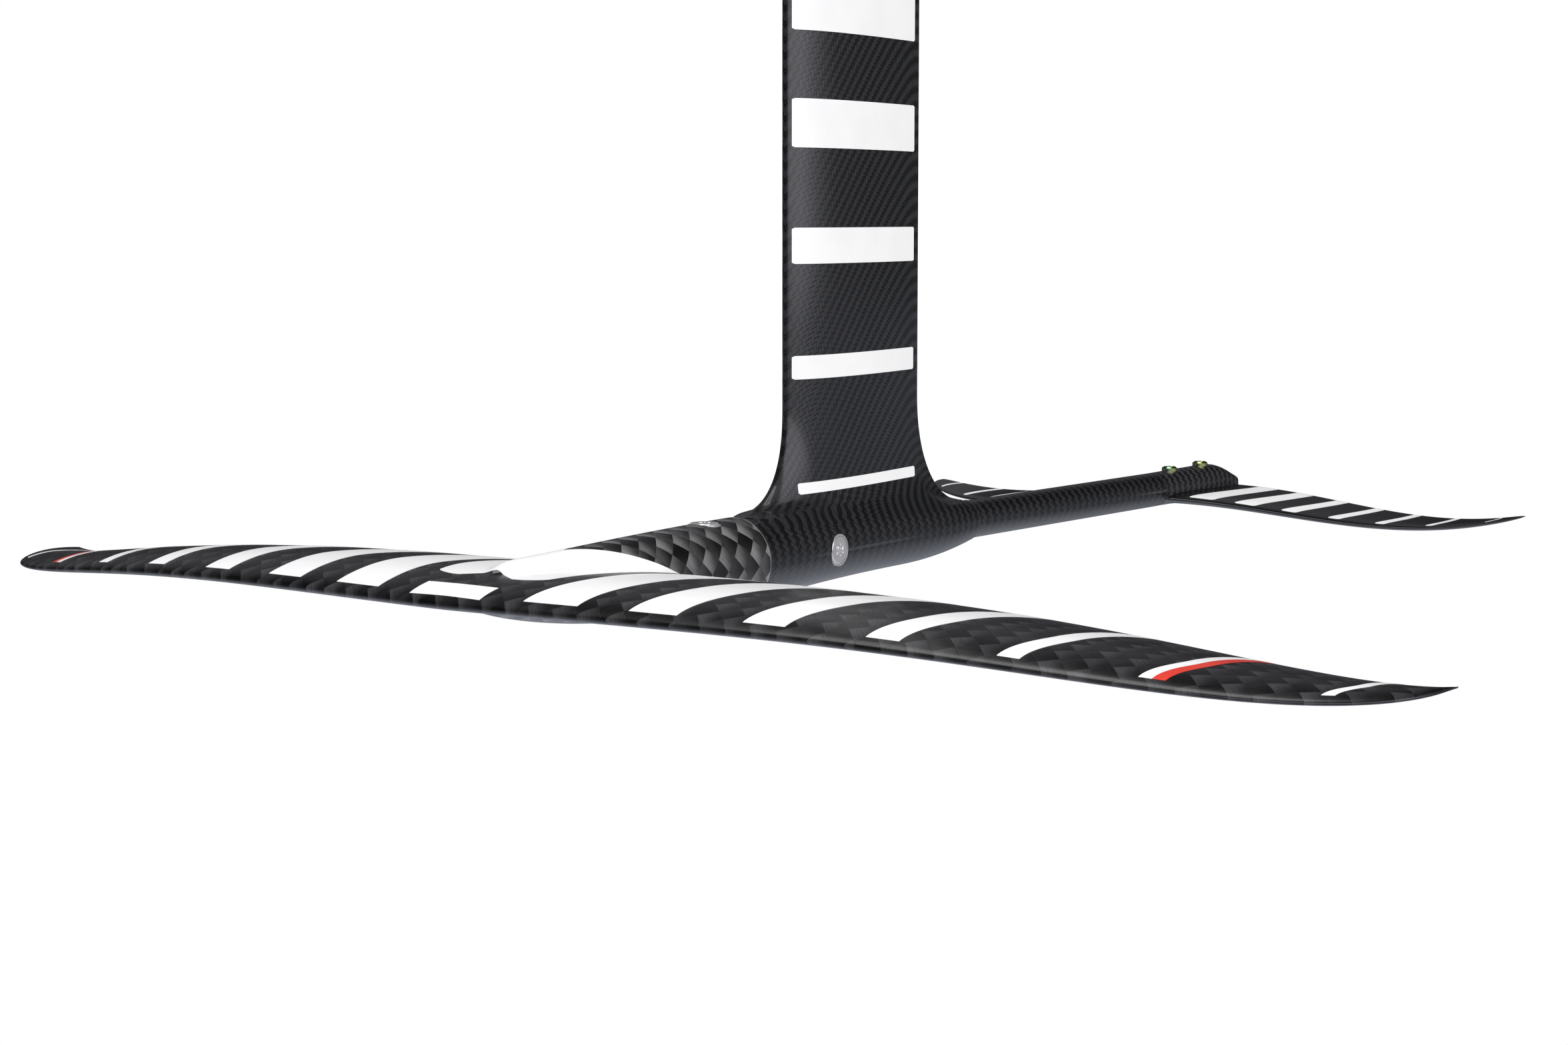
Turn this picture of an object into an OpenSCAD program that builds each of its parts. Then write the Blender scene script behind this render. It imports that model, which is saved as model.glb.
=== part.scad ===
// Carbon hydrofoil: mast with board plate, fuselage, front wing and stabiliser.
// The origin is the centre of the board face. +X points to port, +Y aft and +Z up.
// The foils are lofts of a thin wing section; sockets, bolts and the tube are turned.

/* [Overall] */
// Distance from the board face down to the fuselage axis
mast_length = 850; // [650:10:1050]
// Span of the front wing, tip to tip
wing_span = 749; // [600:1:900]
// Span of the stabiliser, tip to tip
stab_span = 394; // [320:1:480]

/* [Board plate] */
// Length of the board plate along the board
plate_length = 192; // [185:1:230]
// Width of the board plate across the board
plate_width = 122; // [116:1:150]
// Thickness of the board plate
plate_thickness = 9; // [7:0.5:12]
// Corner radius of the board plate
plate_corner = 16; // [6:1:25]
// Spacing of the bolt slots across the board
slot_spacing_across = 90; // [80:1:92]
// Spacing of the bolt slots along the board
slot_spacing_along = 165; // [140:1:168]
// Width of a bolt slot
slot_width = 8.5; // [6.5:0.1:9]
// End to end length of a bolt slot
slot_length = 16; // [12:0.5:20]
// Depth of the spar's pocket in the underside of the plate
plate_pocket = 5; // [3:0.5:6]
// Height of the flared collar under the plate
collar_height = 32; // [20:1:60]
// How far the collar flares out at the plate
collar_flare = 15; // [8:1:20]

/* [Mast] */
// Chord of the mast
mast_chord = 118; // [98:1:142]
// Thickness of the mast
mast_thickness = 16.5; // [13.5:0.5:20]
// Thickness of the mast's carbon skins
mast_skin = 2.2; // [1.8:0.1:2.7]
// Width of the spar along the chord
mast_spar_width = 42; // [34:1:50]
// Half thickness of the mast's trailing edge
mast_edge = 0.7; // [0.4:0.1:1]

/* [Mast foot] */
// Height above the axis at which the mast begins to flare into the foot
flare_height = 70; // [60:1:85]
// How far the foot's nose lies ahead of the mast's mid chord
foot_nose = 100; // [95:1:110]
// How far the foot's tail lies behind the mast's mid chord
foot_tail = 108; // [100:1:120]
// Radius of the foot at the seam with the neck
seam_radius = 20.5; // [19.5:0.1:24]
// Radius of the foot at its waist
waist_radius = 16.6; // [16:0.1:19]
// Radius of the foot's rear lip
lip_radius = 10.9; // [10.7:0.1:12]
// Length of the boat tail at the foot's rear
boat_tail = 68; // [50:1:80]
// Reach of the leading edge's sweep into the foot
lead_sweep = 33; // [25:1:36]
// Reach of the trailing edge's sweep into the foot
trail_sweep = 33; // [25:1:36]

/* [Fuselage] */
// Radius of the titanium head
head_radius = 13; // [11.5:0.1:13.5]
// Radius of the bore along the head
head_bore = 6; // [5:0.1:7.5]
// How far the head reaches forward into the neck
head_reach = 52; // [42:1:60]
// Where the head ends behind the mast's mid chord
head_tail = 58; // [45:1:70]
// Radius of the carbon tube
tube_radius = 10; // [8.8:0.1:10.3]
// Wall of the carbon tube
tube_wall = 2.5; // [1.5:0.1:3.5]
// Distance from the mast's mid chord back to the end of the tail
tail_reach = 434; // [380:1:520]
// Length of the tail block
tail_length = 110; // [95:1:125]
// How far the tube drops below the axis at the tail block
tail_drop = 2.1; // [1:0.1:3.5]
// Length of the tail block's spigot in the tube
spigot_length = 24; // [15:1:40]

/* [Neck] */
// Length of the neck ahead of the seam
neck_length = 186; // [178:1:196]
// Outer radius of the socket sleeve
sleeve_radius = 15; // [14.4:0.1:15.5]

/* [Front wing] */
// Distance from the root's leading edge forward of the mast's mid chord
wing_lead = 306.6; // [300:0.1:315]
// Root chord of the front wing
wing_chord = 146.9; // [130:0.1:165]
// How far the tips sweep back behind the root's leading edge
wing_sweep = 140.8; // [110:0.1:165]
// Height of the root's leading edge above the axis
wing_height = 3.9; // [0:0.1:6]
// Thickness of the front wing as a share of its chord
wing_ratio = 0.0876; // [0.075:0.0001:0.105]
// Thickness of the front wing's skins
wing_skin = 1.2; // [1:0.1:1.4]

/* [Stabiliser] */
// Root chord of the stabiliser
stab_chord = 108.6; // [95:0.1:125]
// How far the tips sweep back behind the root's leading edge
stab_sweep = 87.1; // [70:0.1:100]
// Height of the root's leading edge above the axis
stab_height = -7; // [-8:0.1:-6]
// Thickness of the stabiliser as a share of its chord
stab_ratio = 0.0624; // [0.06:0.0001:0.075]
// Thickness of the stabiliser's skins
stab_skin = 0.9; // [0.7:0.1:1.1]

/* [Bolts] */
// Radius of the M8 shanks
bolt_radius = 4; // [3:0.1:4.5]
// Radius of the M8 heads
bolt_head = 6.75; // [6:0.05:7.5]
// Height of the M8 heads
bolt_head_height = 3.1; // [2.8:0.1:3.4]
// Wall of the steel ferrules
ferrule_wall = 0.9; // [0.7:0.1:1.4]
// Wall left under a ferrule's seat
seat_wall = 0.5; // [0.4:0.1:0.8]
// Distance of the side bolt ahead of the mast's mid chord
side_bolt_lead = 38; // [30:1:46]
// Distance of the neck bolt ahead of the seam
neck_bolt_lead = 24.3; // [20:0.1:32]
// Radius of the M5 shanks
tail_bolt_radius = 2.5; // [2:0.1:3]
// Radius of the M5 heads
tail_bolt_head = 4.6; // [4:0.1:5.5]
// Height of the M5 heads
tail_bolt_head_height = 2.75; // [2:0.05:3.2]
// Distance of the rear tail bolt ahead of the tail's end
tail_bolt_inset = 44; // [40:0.5:48]
// Spacing of the tail bolts
tail_bolt_spacing = 41.5; // [36:0.5:45]
// Radius of the stabiliser's threaded inserts
insert_radius = 4.5; // [4:0.1:5.5]

/* [Clearances] */
// Radial clearance of the slip fits
slip = 0.05; // [0.02:0.01:0.1]
// Radial clearance of the bolt holes
bolt_gap = 0.15; // [0.1:0.05:0.3]
// End gap between butted pieces of the tube
butt_gap = 0.1; // [0.05:0.05:0.3]

/* [Hidden] */
$fn = 64;

axis_z = -mast_length;
seam_y = -foot_nose;
tail_joint = tail_reach - tail_length;
tail_tilt = asin(tail_drop / (tail_joint - foot_tail));
side_bolt_y = -side_bolt_lead;
neck_bolt_y = seam_y - neck_bolt_lead;
tail_bolts_y = [tail_reach - tail_bolt_inset - tail_bolt_spacing, tail_reach - tail_bolt_inset];
ferrule_radius = bolt_head + bolt_gap + ferrule_wall;
over = 0.5;
carbon = [0.05, 0.05, 0.06];
timber = [0.85, 0.8, 0.62];
spar_grey = [0.12, 0.12, 0.13];
titanium = [0.55, 0.54, 0.52];

// ---- Wing sections -------------------------------------------------------------------

// A foil lists its half span, root leading edge, tip, two leading edge powers, root trailing
// edge, trailing edge power, heights (root and the even powers of the span), thickness ratio
// and its change, camber, incidence, twist and half thickness of the trailing edge.
wing_rise = [-2.53, -52.96, 38.89];
wing_foil = [wing_span / 2, -wing_lead, -wing_lead + wing_sweep, 1.386, 0.3545,
             -wing_lead + wing_chord, 2.131, concat([wing_height], wing_rise),
             wing_ratio, -0.084, 0.026, 0.0239, 0.0072, 0.35];
stab_lead = tail_reach - stab_chord;
stab_rise = [-47.47, 54.04, -13.12];
stab_foil = [stab_span / 2, stab_lead, stab_lead + stab_sweep, 1.2, 0.4293,
             tail_reach, 1, concat([stab_height], stab_rise),
             stab_ratio, 0.054, -0.0149, 0.0067, -0.0274, 0.3];

wing_rows = 14;
wing_columns = 14;
wing_core_row = 10;
wing_core_columns = [2, 12];
wing_spar_columns = [6, 9];
stab_rows = 12;
stab_columns = 12;
stab_core_row = 7;
stab_core_columns = [2, 11];
tip_share = 0.9995;

function row_share(i, rows) = sign(i) * tip_share * sin(90 * abs(i) / rows);
function column_share(j, columns) = pow(j / columns, 1.8);

// Half thickness of a section of unit chord and unit thickness ratio
function section(s) = 5 * (0.2969 * sqrt(s) - 0.126 * s - 0.3516 * s * s
    + 0.2843 * pow(s, 3) - 0.1036 * pow(s, 4));
function camber_line(s, m) = s < 0.4 ? m / 0.16 * (0.8 * s - s * s)
    : m / 0.36 * (0.2 + 0.8 * s - s * s);

function foil_lead(f, e) = f[2] - (f[2] - f[1]) * pow(1 - pow(e, f[3]), f[4]);
function foil_trail(f, e) = f[5] + (f[2] - f[5]) * pow(e, f[6]);
function foil_chord(f, e) = foil_trail(f, e) - foil_lead(f, e);
function foil_height(f, e) = f[7][0] + f[7][1] * pow(e, 2) + f[7][2] * pow(e, 4)
    + f[7][3] * pow(e, 6);
function foil_half(f, e, s) = foil_chord(f, e) * f[8] * (1 + f[9] * e * e) * section(s)
    + f[13] * s;
function foil_middle(f, e, s) = foil_height(f, e) + foil_chord(f, e)
    * (camber_line(s, f[10]) - s * (f[11] + f[12] * e * e));

// A point of a foil at the signed span share q and chord share s, lifted off its camber line
function foil_point(f, q, s, lift) = [q * f[0],
    foil_lead(f, abs(q)) + foil_chord(f, abs(q)) * s,
    axis_z + foil_middle(f, abs(q), s) + lift];

// Half depth of the core at a row and column, zero outside the core
function core_half(f, i, j, rows, columns, skin, row_end, ends) =
    abs(i) < row_end && j > ends[0] && j < ends[1]
    ? max(0, foil_half(f, abs(row_share(i, rows)), column_share(j, columns)) - skin) : 0;

function outer_grid(f, side, r, c, rows, columns) = [for (i = [r[0] : r[1]])
    [for (j = [c[0] : c[1]]) let (q = row_share(i, rows), s = column_share(j, columns))
        foil_point(f, q, s, side * foil_half(f, abs(q), s))]];
function core_grid(f, side, r, c, rows, columns, skin, row_end, ends) = [for (i = [r[0] : r[1]])
    [for (j = [c[0] : c[1]])
        foil_point(f, row_share(i, rows), column_share(j, columns),
            side * core_half(f, i, j, rows, columns, skin, row_end, ends))]];

// ---- Solids from grids and rings -------------------------------------------------------

// The solid between an upper and a lower grid of points, which may meet along their edges
module between(top, low) {
    n = len(top);
    m = len(top[0]);
    met = [for (i = [0 : n - 1]) [for (j = [0 : m - 1]) norm(top[i][j] - low[i][j]) < 1e-6]];
    function up(i, j) = i * m + j;
    function down(i, j) = met[i][j] ? up(i, j) : n * m + up(i, j);
    function real(t) = t[0] != t[1] && t[1] != t[2] && t[0] != t[2];
    function open(t) = !(met[floor(t[0] / m)][t[0] % m] && met[floor(t[1] / m)][t[1] % m]
        && met[floor(t[2] / m)][t[2] % m]);
    cells = [for (i = [0 : n - 2]) for (j = [0 : m - 2]) [i, j]];
    halves = [for (c = cells) for (t = [[[0, 0], [0, 1], [1, 1]], [[0, 0], [1, 1], [1, 0]]])
        [for (d = t) c + d]];
    sheets = [for (t = halves) if (open([for (p = t) up(p[0], p[1])])) t];
    skins = concat([for (t = sheets) [for (p = t) up(p[0], p[1])]],
        [for (t = sheets) [for (k = [2, 1, 0]) down(t[k][0], t[k][1])]]);
    edges = concat([for (i = [0 : n - 2]) [[i, 0], [i + 1, 0]]],
        [for (i = [0 : n - 2]) [[i + 1, m - 1], [i, m - 1]]],
        [for (j = [0 : m - 2]) [[0, j + 1], [0, j]]],
        [for (j = [0 : m - 2]) [[n - 1, j], [n - 1, j + 1]]]);
    walls = [for (e = edges) let (a = e[0], b = e[1])
        each [[up(a[0], a[1]), up(b[0], b[1]), down(b[0], b[1])],
              [up(a[0], a[1]), down(b[0], b[1]), down(a[0], a[1])]]];
    polyhedron([for (r = top) each r, for (r = low) each r],
        concat(skins, [for (t = walls) if (real(t)) t]));
}

// The solid through rings that run counterclockwise seen from beyond the last one
module loft(rings) {
    n = len(rings);
    k = len(rings[0]);
    sides = [for (i = [0 : n - 2]) for (j = [0 : k - 1])
        let (a = i * k + j, b = i * k + (j + 1) % k)
        each [[a, a + k, b + k], [a, b + k, b]]];
    polyhedron([for (r = rings) each r],
        concat(sides, [[for (j = [0 : k - 1]) j], [for (j = [k - 1 : -1 : 0]) (n - 1) * k + j]]));
}

// Turns what is drawn along +Z from the origin so that it runs aft from the seam plane
module along_axis(y) {
    translate([0, y, axis_z]) rotate([-90, 0, 0]) children();
}

// The frame of the tube, which leaves the foot's lip and drops slightly towards the tail
module tube_frame() {
    translate([0, foot_tail, axis_z]) rotate([-90 - tail_tilt, 0, 0]) children();
}

// ---- Mast ---------------------------------------------------------------------------------

mast_columns = 16;

// Half thickness of the mast's section at chord share s
function mast_half(s, half, edge) = half * section(s) / 0.5 + edge * s;

// One closed outline of the mast's section, counterclockwise from its leading edge
function mast_outline(lead, trail, half, edge) = concat(
    [for (j = [0 : mast_columns]) let (s = column_share(j, mast_columns))
        [mast_half(s, half, edge), lead + (trail - lead) * s]],
    [for (j = [mast_columns : -1 : 1]) let (s = column_share(j, mast_columns))
        [-mast_half(s, half, edge), lead + (trail - lead) * s]]);

function mast_inner(j) = j > 2 && j < mast_columns - 1
    ? mast_half(column_share(j, mast_columns), mast_thickness / 2, mast_edge) - mast_skin : 0;

module mast_section() {
    polygon(mast_outline(-mast_chord / 2, mast_chord / 2, mast_thickness / 2, mast_edge));
}

module mast_hollow() {
    ends = [2, mast_columns - 1];
    polygon(concat(
        [for (j = [ends[0] : ends[1]])
            [mast_inner(j), mast_chord * (column_share(j, mast_columns) - 0.5)]],
        [for (j = [ends[1] - 1 : -1 : ends[0] + 1])
            [-mast_inner(j), mast_chord * (column_share(j, mast_columns) - 0.5)]]));
}

module spar_section() {
    intersection() {
        mast_hollow();
        square([mast_thickness, mast_spar_width], center = true);
    }
}

// Extrudes a section of the mast from one height above the axis to another
module mast_run(low, high) {
    translate([0, 0, low]) linear_extrude(high - low) children();
}

module mast_skin(side) {
    color(carbon) mast_run(axis_z + flare_height, -plate_thickness) difference() {
        intersection() {
            mast_section();
            translate([side > 0 ? 0 : -mast_thickness, -mast_chord])
                square([mast_thickness, 2 * mast_chord]);
        }
        mast_hollow();
    }
}

module mast_skin_port() {
    mast_skin(1);
}

module mast_skin_starboard() {
    mast_skin(-1);
}

module mast_core() {
    color(timber) mast_run(axis_z + flare_height, -plate_thickness) difference() {
        mast_hollow();
        square([2 * mast_thickness, mast_spar_width], center = true);
    }
}

spar_foot = axis_z + (flare_height + head_radius) / 2;

module mast_spar() {
    color(spar_grey) mast_run(spar_foot, plate_pocket - plate_thickness) spar_section();
}

// ---- Board plate ---------------------------------------------------------------------------

module plate_slot() {
    run = (slot_length - slot_width) / 2;
    square([2 * run, slot_width], center = true);
    for (side = [-1, 1])
        translate([side * run, 0]) circle(slot_width / 2);
}

module base_plate() {
    color(carbon) difference() {
        translate([0, 0, -plate_thickness]) linear_extrude(plate_thickness) difference() {
            union() {
                square([plate_width - 2 * plate_corner, plate_length], center = true);
                square([plate_width, plate_length - 2 * plate_corner], center = true);
                for (x = [-1, 1], y = [-1, 1])
                    translate([x * (plate_width / 2 - plate_corner),
                        y * (plate_length / 2 - plate_corner)]) circle(plate_corner);
            }
            for (x = [-1, 1], y = [-1, 1])
                translate([x * slot_spacing_across / 2, y * slot_spacing_along / 2]) plate_slot();
        }
        mast_run(-plate_thickness - over, plate_pocket - plate_thickness) spar_section();
    }
}

collar_rings = 8;
collar_lip = 0.8;

module mast_collar() {
    color(carbon) difference() {
        loft([for (i = [0 : collar_rings])
            let (rise = i / collar_rings, grow = collar_lip + collar_flare * (1 - sqrt(1 - rise * rise)),
                z = -plate_thickness - collar_height * (1 - rise))
            [for (p = mast_outline(-mast_chord / 2 - grow, mast_chord / 2 + grow,
                mast_thickness / 2 + grow, mast_edge)) [p[0], p[1], z]]]);
        mast_run(-plate_thickness - collar_height - over, -plate_thickness + over) mast_section();
    }
}

// ---- Mast foot ------------------------------------------------------------------------------

foot_steps = 24;
flare_rings = 12;
flare_base = 8;
flare_swell = 4.8;
flare_bite = 1;
lead_centre = seam_y + 8;
trail_centre = foot_tail - 16;

// Radius of the foot at a place along the axis
function foot_radius(y) =
    let (tail = max(0, y - foot_tail + boat_tail) / boat_tail,
        nose = max(0, foot_tail - boat_tail - y) / (foot_nose + foot_tail - boat_tail))
    waist_radius - (waist_radius - lip_radius) * tail * tail
        + (seam_radius - waist_radius) * pow(nose, 2.2);

// Share of a sweep's reach that is used at a height between its low end and the flare's top
function sweep_share(h, low) = let (u = (flare_height - max(h, low)) / (flare_height - low))
    sqrt(1 - u * u);

module mast_flare() {
    loft([for (i = [0 : flare_rings])
        let (h = flare_base + (flare_height - flare_base) * pow(i / flare_rings, 1.3),
            fall = (flare_height - h) / (flare_height - flare_base),
            lead = lead_centre + (-mast_chord / 2 - lead_centre)
                * sweep_share(h, foot_radius(lead_centre) - flare_bite),
            trail = trail_centre + (mast_chord / 2 - trail_centre)
                * sweep_share(h, foot_radius(trail_centre) - flare_bite))
        [for (p = mast_outline(lead, trail, mast_thickness / 2 + flare_swell * pow(fall, 3.5),
            mast_edge)) [p[0], p[1], axis_z + h]]]);
}

module mast_foot() {
    length = foot_nose + foot_tail;
    color(carbon) difference() {
        union() {
            along_axis(seam_y) rotate_extrude() polygon(concat([[0, 0]],
                [for (i = [0 : foot_steps]) let (y = length * i / foot_steps)
                    [foot_radius(seam_y + y), y]], [[0, length]]));
            mast_flare();
        }
        along_axis(seam_y - over) cylinder(r = head_radius, h = head_tail + foot_nose + over);
        tube_frame() translate([0, 0, head_tail - foot_tail - over])
            cylinder(r = tube_radius + slip, h = foot_tail - head_tail + 2 * over);
        mast_run(spar_foot, axis_z + flare_height + over) spar_section();
        side_bolt_place() ferrule_space();
    }
}

// ---- Bolts ----------------------------------------------------------------------------------

// Frame of the side bolt: the origin is its ferrule's seat and +Z points out to port
module side_bolt_place() {
    translate([head_radius + seat_wall, side_bolt_y, axis_z]) rotate([0, 90, 0]) children();
}

// Frame of the neck bolt: the origin is its ferrule's seat and +Z points up
module neck_bolt_place() {
    translate([0, neck_bolt_y, axis_z + sleeve_radius + seat_wall]) children();
}

// The seat of a ferrule and the way of its bolt through the wall below
module ferrule_space() {
    cylinder(r = ferrule_radius, h = seam_radius);
    translate([0, 0, -bolt_radius]) cylinder(r = bolt_radius + bolt_gap, h = seam_radius);
}

// A cup that seats a bolt head in the carbon
module ferrule(height) {
    color("silver") difference() {
        cylinder(r = ferrule_radius - slip, h = height);
        translate([0, 0, ferrule_wall]) cylinder(r = bolt_head + bolt_gap, h = height);
        translate([0, 0, -over]) cylinder(r = bolt_radius + bolt_gap, h = height);
    }
}

// The six lobes of a driver socket
module lobes(radius) {
    circle(0.74 * radius);
    for (i = [0 : 5])
        rotate(60 * i) translate([0.7 * radius, 0]) circle(0.3 * radius, $fn = 16);
}

// A bolt whose head stands on z = 0 and whose shank reaches down from there
module bolt(shank, length, head, head_height, rim) {
    difference() {
        rotate_extrude() polygon([[0, -length], [shank - 0.5, -length], [shank, -length + 0.5],
            [shank, 0], [head, 0], [head, rim], [0.9 * head, head_height - 0.25],
            [0.75 * head, head_height], [0, head_height]]);
        translate([0, 0, 0.3 * head_height]) linear_extrude(head_height) lobes(0.52 * head);
    }
}

module m8_bolt(length) {
    color("silver") translate([0, 0, ferrule_wall])
        bolt(bolt_radius - slip, length, bolt_head, bolt_head_height, bolt_head_height - 0.7);
}

module side_bolt_ferrule() {
    side_bolt_place() ferrule(ferrule_wall + bolt_head_height - 0.2);
}

module side_bolt() {
    side_bolt_place() m8_bolt(ferrule_wall + seat_wall + head_radius - head_bore);
}

module neck_bolt_ferrule() {
    neck_bolt_place() ferrule(ferrule_wall + bolt_head_height - 0.2);
}

module neck_bolt() {
    neck_bolt_place() m8_bolt(ferrule_wall + seat_wall + sleeve_radius - head_bore);
}

// ---- Fuselage -------------------------------------------------------------------------------

module fuselage_head() {
    color(titanium) difference() {
        along_axis(seam_y - head_reach + butt_gap) difference() {
            cylinder(r = head_radius - slip, h = head_reach + foot_nose + head_tail - butt_gap);
            translate([0, 0, -over])
                cylinder(r = head_bore, h = head_reach + foot_nose + head_tail + 2 * over);
        }
        translate([0, side_bolt_y, axis_z]) rotate([0, 90, 0])
            cylinder(r = bolt_radius, h = 2 * head_radius);
        translate([0, neck_bolt_y, axis_z]) cylinder(r = bolt_radius, h = 2 * head_radius);
    }
}

module fuselage_tube() {
    front = head_tail - foot_tail + 2 * butt_gap;
    length = (tail_joint - foot_tail) - front - butt_gap;
    color(carbon) tube_frame() translate([0, 0, front]) difference() {
        cylinder(r = tube_radius, h = length);
        translate([0, 0, -over]) cylinder(r = tube_radius - tube_wall, h = length + 2 * over);
    }
}

tail_rings = 12;

// Height of the tail's top above the axis at a place t of its length
function tail_top(t) = let (u = max(0, t - 0.62) / 0.38)
    tube_radius - tail_drop - 11.5 * pow(u, 2.2);
function tail_side(t) = tube_radius * (1 - 0.45 * pow(t, 4));
function tail_low(t) = -tube_radius - tail_drop + 8 * max(0, t - 0.12);

module tail_body() {
    points = 28;
    loft([for (i = [tail_rings : -1 : 0])
        let (t = i / tail_rings, up = tail_top(t), low = tail_low(t),
            mid = min(up - 1, -tail_drop))
        [for (k = [0 : points - 1]) let (a = 360 * k / points, rise = sin(a))
            [tail_side(t) * cos(a), tail_joint + tail_length * t,
                axis_z + mid + rise * (rise > 0 ? up - mid : mid - low)]]]);
}

module wing_block(f, rows, columns) {
    between(outer_grid(f, 1, [-1, 1], [0, columns], rows, columns),
        outer_grid(f, -1, [-1, 1], [0, columns], rows, columns));
}

seat_depth = 0.6;
tail_seat = axis_z + tube_radius - tail_drop - seat_depth;

module tail_block() {
    color(carbon) difference() {
        union() {
            tail_body();
            tube_frame() translate([0, 0, tail_joint - foot_tail - spigot_length])
                cylinder(r = tube_radius - tube_wall - slip, h = spigot_length + 2 * over);
        }
        wing_block(stab_foil, stab_rows, stab_columns);
        for (y = tail_bolts_y) {
            translate([0, y, tail_seat])
                cylinder(r = tail_bolt_head + bolt_gap, h = 2 * tube_radius);
            translate([0, y, axis_z - 3 * tube_radius])
                cylinder(r = tail_bolt_radius + bolt_gap, h = 4 * tube_radius);
        }
    }
}

// Height of the stabiliser's core above the axis on one side at a place along the root
function stab_inside(side, y) = let (s = (y - stab_lead) / stab_chord)
    foil_middle(stab_foil, 0, s) + side * (foil_half(stab_foil, 0, s) - stab_skin);

insert_gap = 0.2;
insert_low = max([for (y = tail_bolts_y) stab_inside(-1, y)]) + insert_gap;
insert_height = min([for (y = tail_bolts_y) stab_inside(1, y)]) - insert_gap - insert_low;

module tail_bolts() {
    length = tail_seat - axis_z - insert_low - insert_gap;
    color([0.35, 0.5, 0.35]) for (y = tail_bolts_y)
        translate([0, y, tail_seat])
            bolt(tail_bolt_radius - slip, length, tail_bolt_head, tail_bolt_head_height, 0.6);
}

// ---- Neck -----------------------------------------------------------------------------------

sleeve_length = head_reach - 2;
neck_rings = 18;
neck_points = 32;

function neck_side(v) = seam_radius * pow(1 - pow(v, 3.2), 0.6);
function neck_top(v) = let (f = max(0, min(1, (v - 0.835) / 0.165)))
    seam_radius - 3.6 * pow(min(v, 0.84) / 0.84, 1.5) - 7.9 * (3 * f * f - 2 * f * f * f);
function neck_low(v) = -seam_radius * pow(1 - pow(v, 2.4), 0.8);

module neck_body() {
    loft([for (i = [0 : neck_rings])
        let (v = 0.985 * pow(i / neck_rings, 0.8))
        [for (k = [0 : neck_points - 1]) let (a = 360 * k / neck_points, rise = sin(a))
            [neck_side(v) * cos(a), seam_y - neck_length * v,
                axis_z + rise * (rise > 0 ? neck_top(v) : -neck_low(v))]]]);
}

module wing_neck() {
    color(carbon) difference() {
        neck_body();
        wing_block(wing_foil, wing_rows, wing_columns);
        along_axis(seam_y - head_reach) cylinder(r = head_radius, h = head_reach + over);
        along_axis(seam_y - sleeve_length) cylinder(r = sleeve_radius, h = sleeve_length + over);
        neck_bolt_place() ferrule_space();
    }
}

module neck_sleeve() {
    color("silver") difference() {
        along_axis(seam_y - sleeve_length) difference() {
            cylinder(r = sleeve_radius - slip, h = sleeve_length);
            translate([0, 0, -over]) cylinder(r = head_radius, h = sleeve_length + 2 * over);
        }
        translate([0, neck_bolt_y, axis_z])
            cylinder(r = bolt_radius + bolt_gap, h = 2 * sleeve_radius);
    }
}

// ---- Front wing -----------------------------------------------------------------------------

wing_span_rows = [-wing_rows, wing_rows];
wing_core_rows = [-wing_core_row, wing_core_row];

function wing_outer(side) = outer_grid(wing_foil, side, wing_span_rows, [0, wing_columns],
    wing_rows, wing_columns);
function wing_inner(side, rows, columns) = core_grid(wing_foil, side, rows, columns,
    wing_rows, wing_columns, wing_skin, wing_core_row, wing_core_columns);

module wing_upper_skin() {
    color(carbon) between(wing_outer(1), wing_inner(1, wing_span_rows, [0, wing_columns]));
}

module wing_lower_skin() {
    color(carbon) between(wing_inner(-1, wing_span_rows, [0, wing_columns]), wing_outer(-1));
}

module wing_fill(columns) {
    between(wing_inner(1, wing_core_rows, columns), wing_inner(-1, wing_core_rows, columns));
}

module wing_core() {
    color(timber) {
        wing_fill([wing_core_columns[0], wing_spar_columns[0]]);
        wing_fill([wing_spar_columns[1], wing_core_columns[1]]);
    }
}

module wing_spar() {
    color(spar_grey) wing_fill(wing_spar_columns);
}

// ---- Stabiliser -----------------------------------------------------------------------------

stab_span_rows = [-stab_rows, stab_rows];
stab_core_rows = [-stab_core_row, stab_core_row];

function stab_outer(side) = outer_grid(stab_foil, side, stab_span_rows, [0, stab_columns],
    stab_rows, stab_columns);
function stab_inner(side, rows, columns) = core_grid(stab_foil, side, rows, columns,
    stab_rows, stab_columns, stab_skin, stab_core_row, stab_core_columns);

module stabiliser_upper_skin() {
    color(carbon) difference() {
        between(stab_outer(1), stab_inner(1, stab_span_rows, [0, stab_columns]));
        for (y = tail_bolts_y)
            translate([0, y, axis_z + insert_low])
                cylinder(r = tail_bolt_radius + bolt_gap, h = 2 * tube_radius);
    }
}

module stabiliser_lower_skin() {
    color(carbon) between(stab_inner(-1, stab_span_rows, [0, stab_columns]), stab_outer(-1));
}

module stabiliser_core() {
    color(timber) difference() {
        between(stab_inner(1, stab_core_rows, stab_core_columns),
            stab_inner(-1, stab_core_rows, stab_core_columns));
        for (y = tail_bolts_y)
            translate([0, y, axis_z - 2 * tube_radius])
                cylinder(r = insert_radius, h = 3 * tube_radius);
    }
}

module stabiliser_inserts() {
    color("silver") for (y = tail_bolts_y)
        translate([0, y, axis_z + insert_low]) difference() {
            cylinder(r = insert_radius - slip, h = insert_height);
            translate([0, 0, -over]) cylinder(r = tail_bolt_radius, h = insert_height + 2 * over);
        }
}

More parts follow.
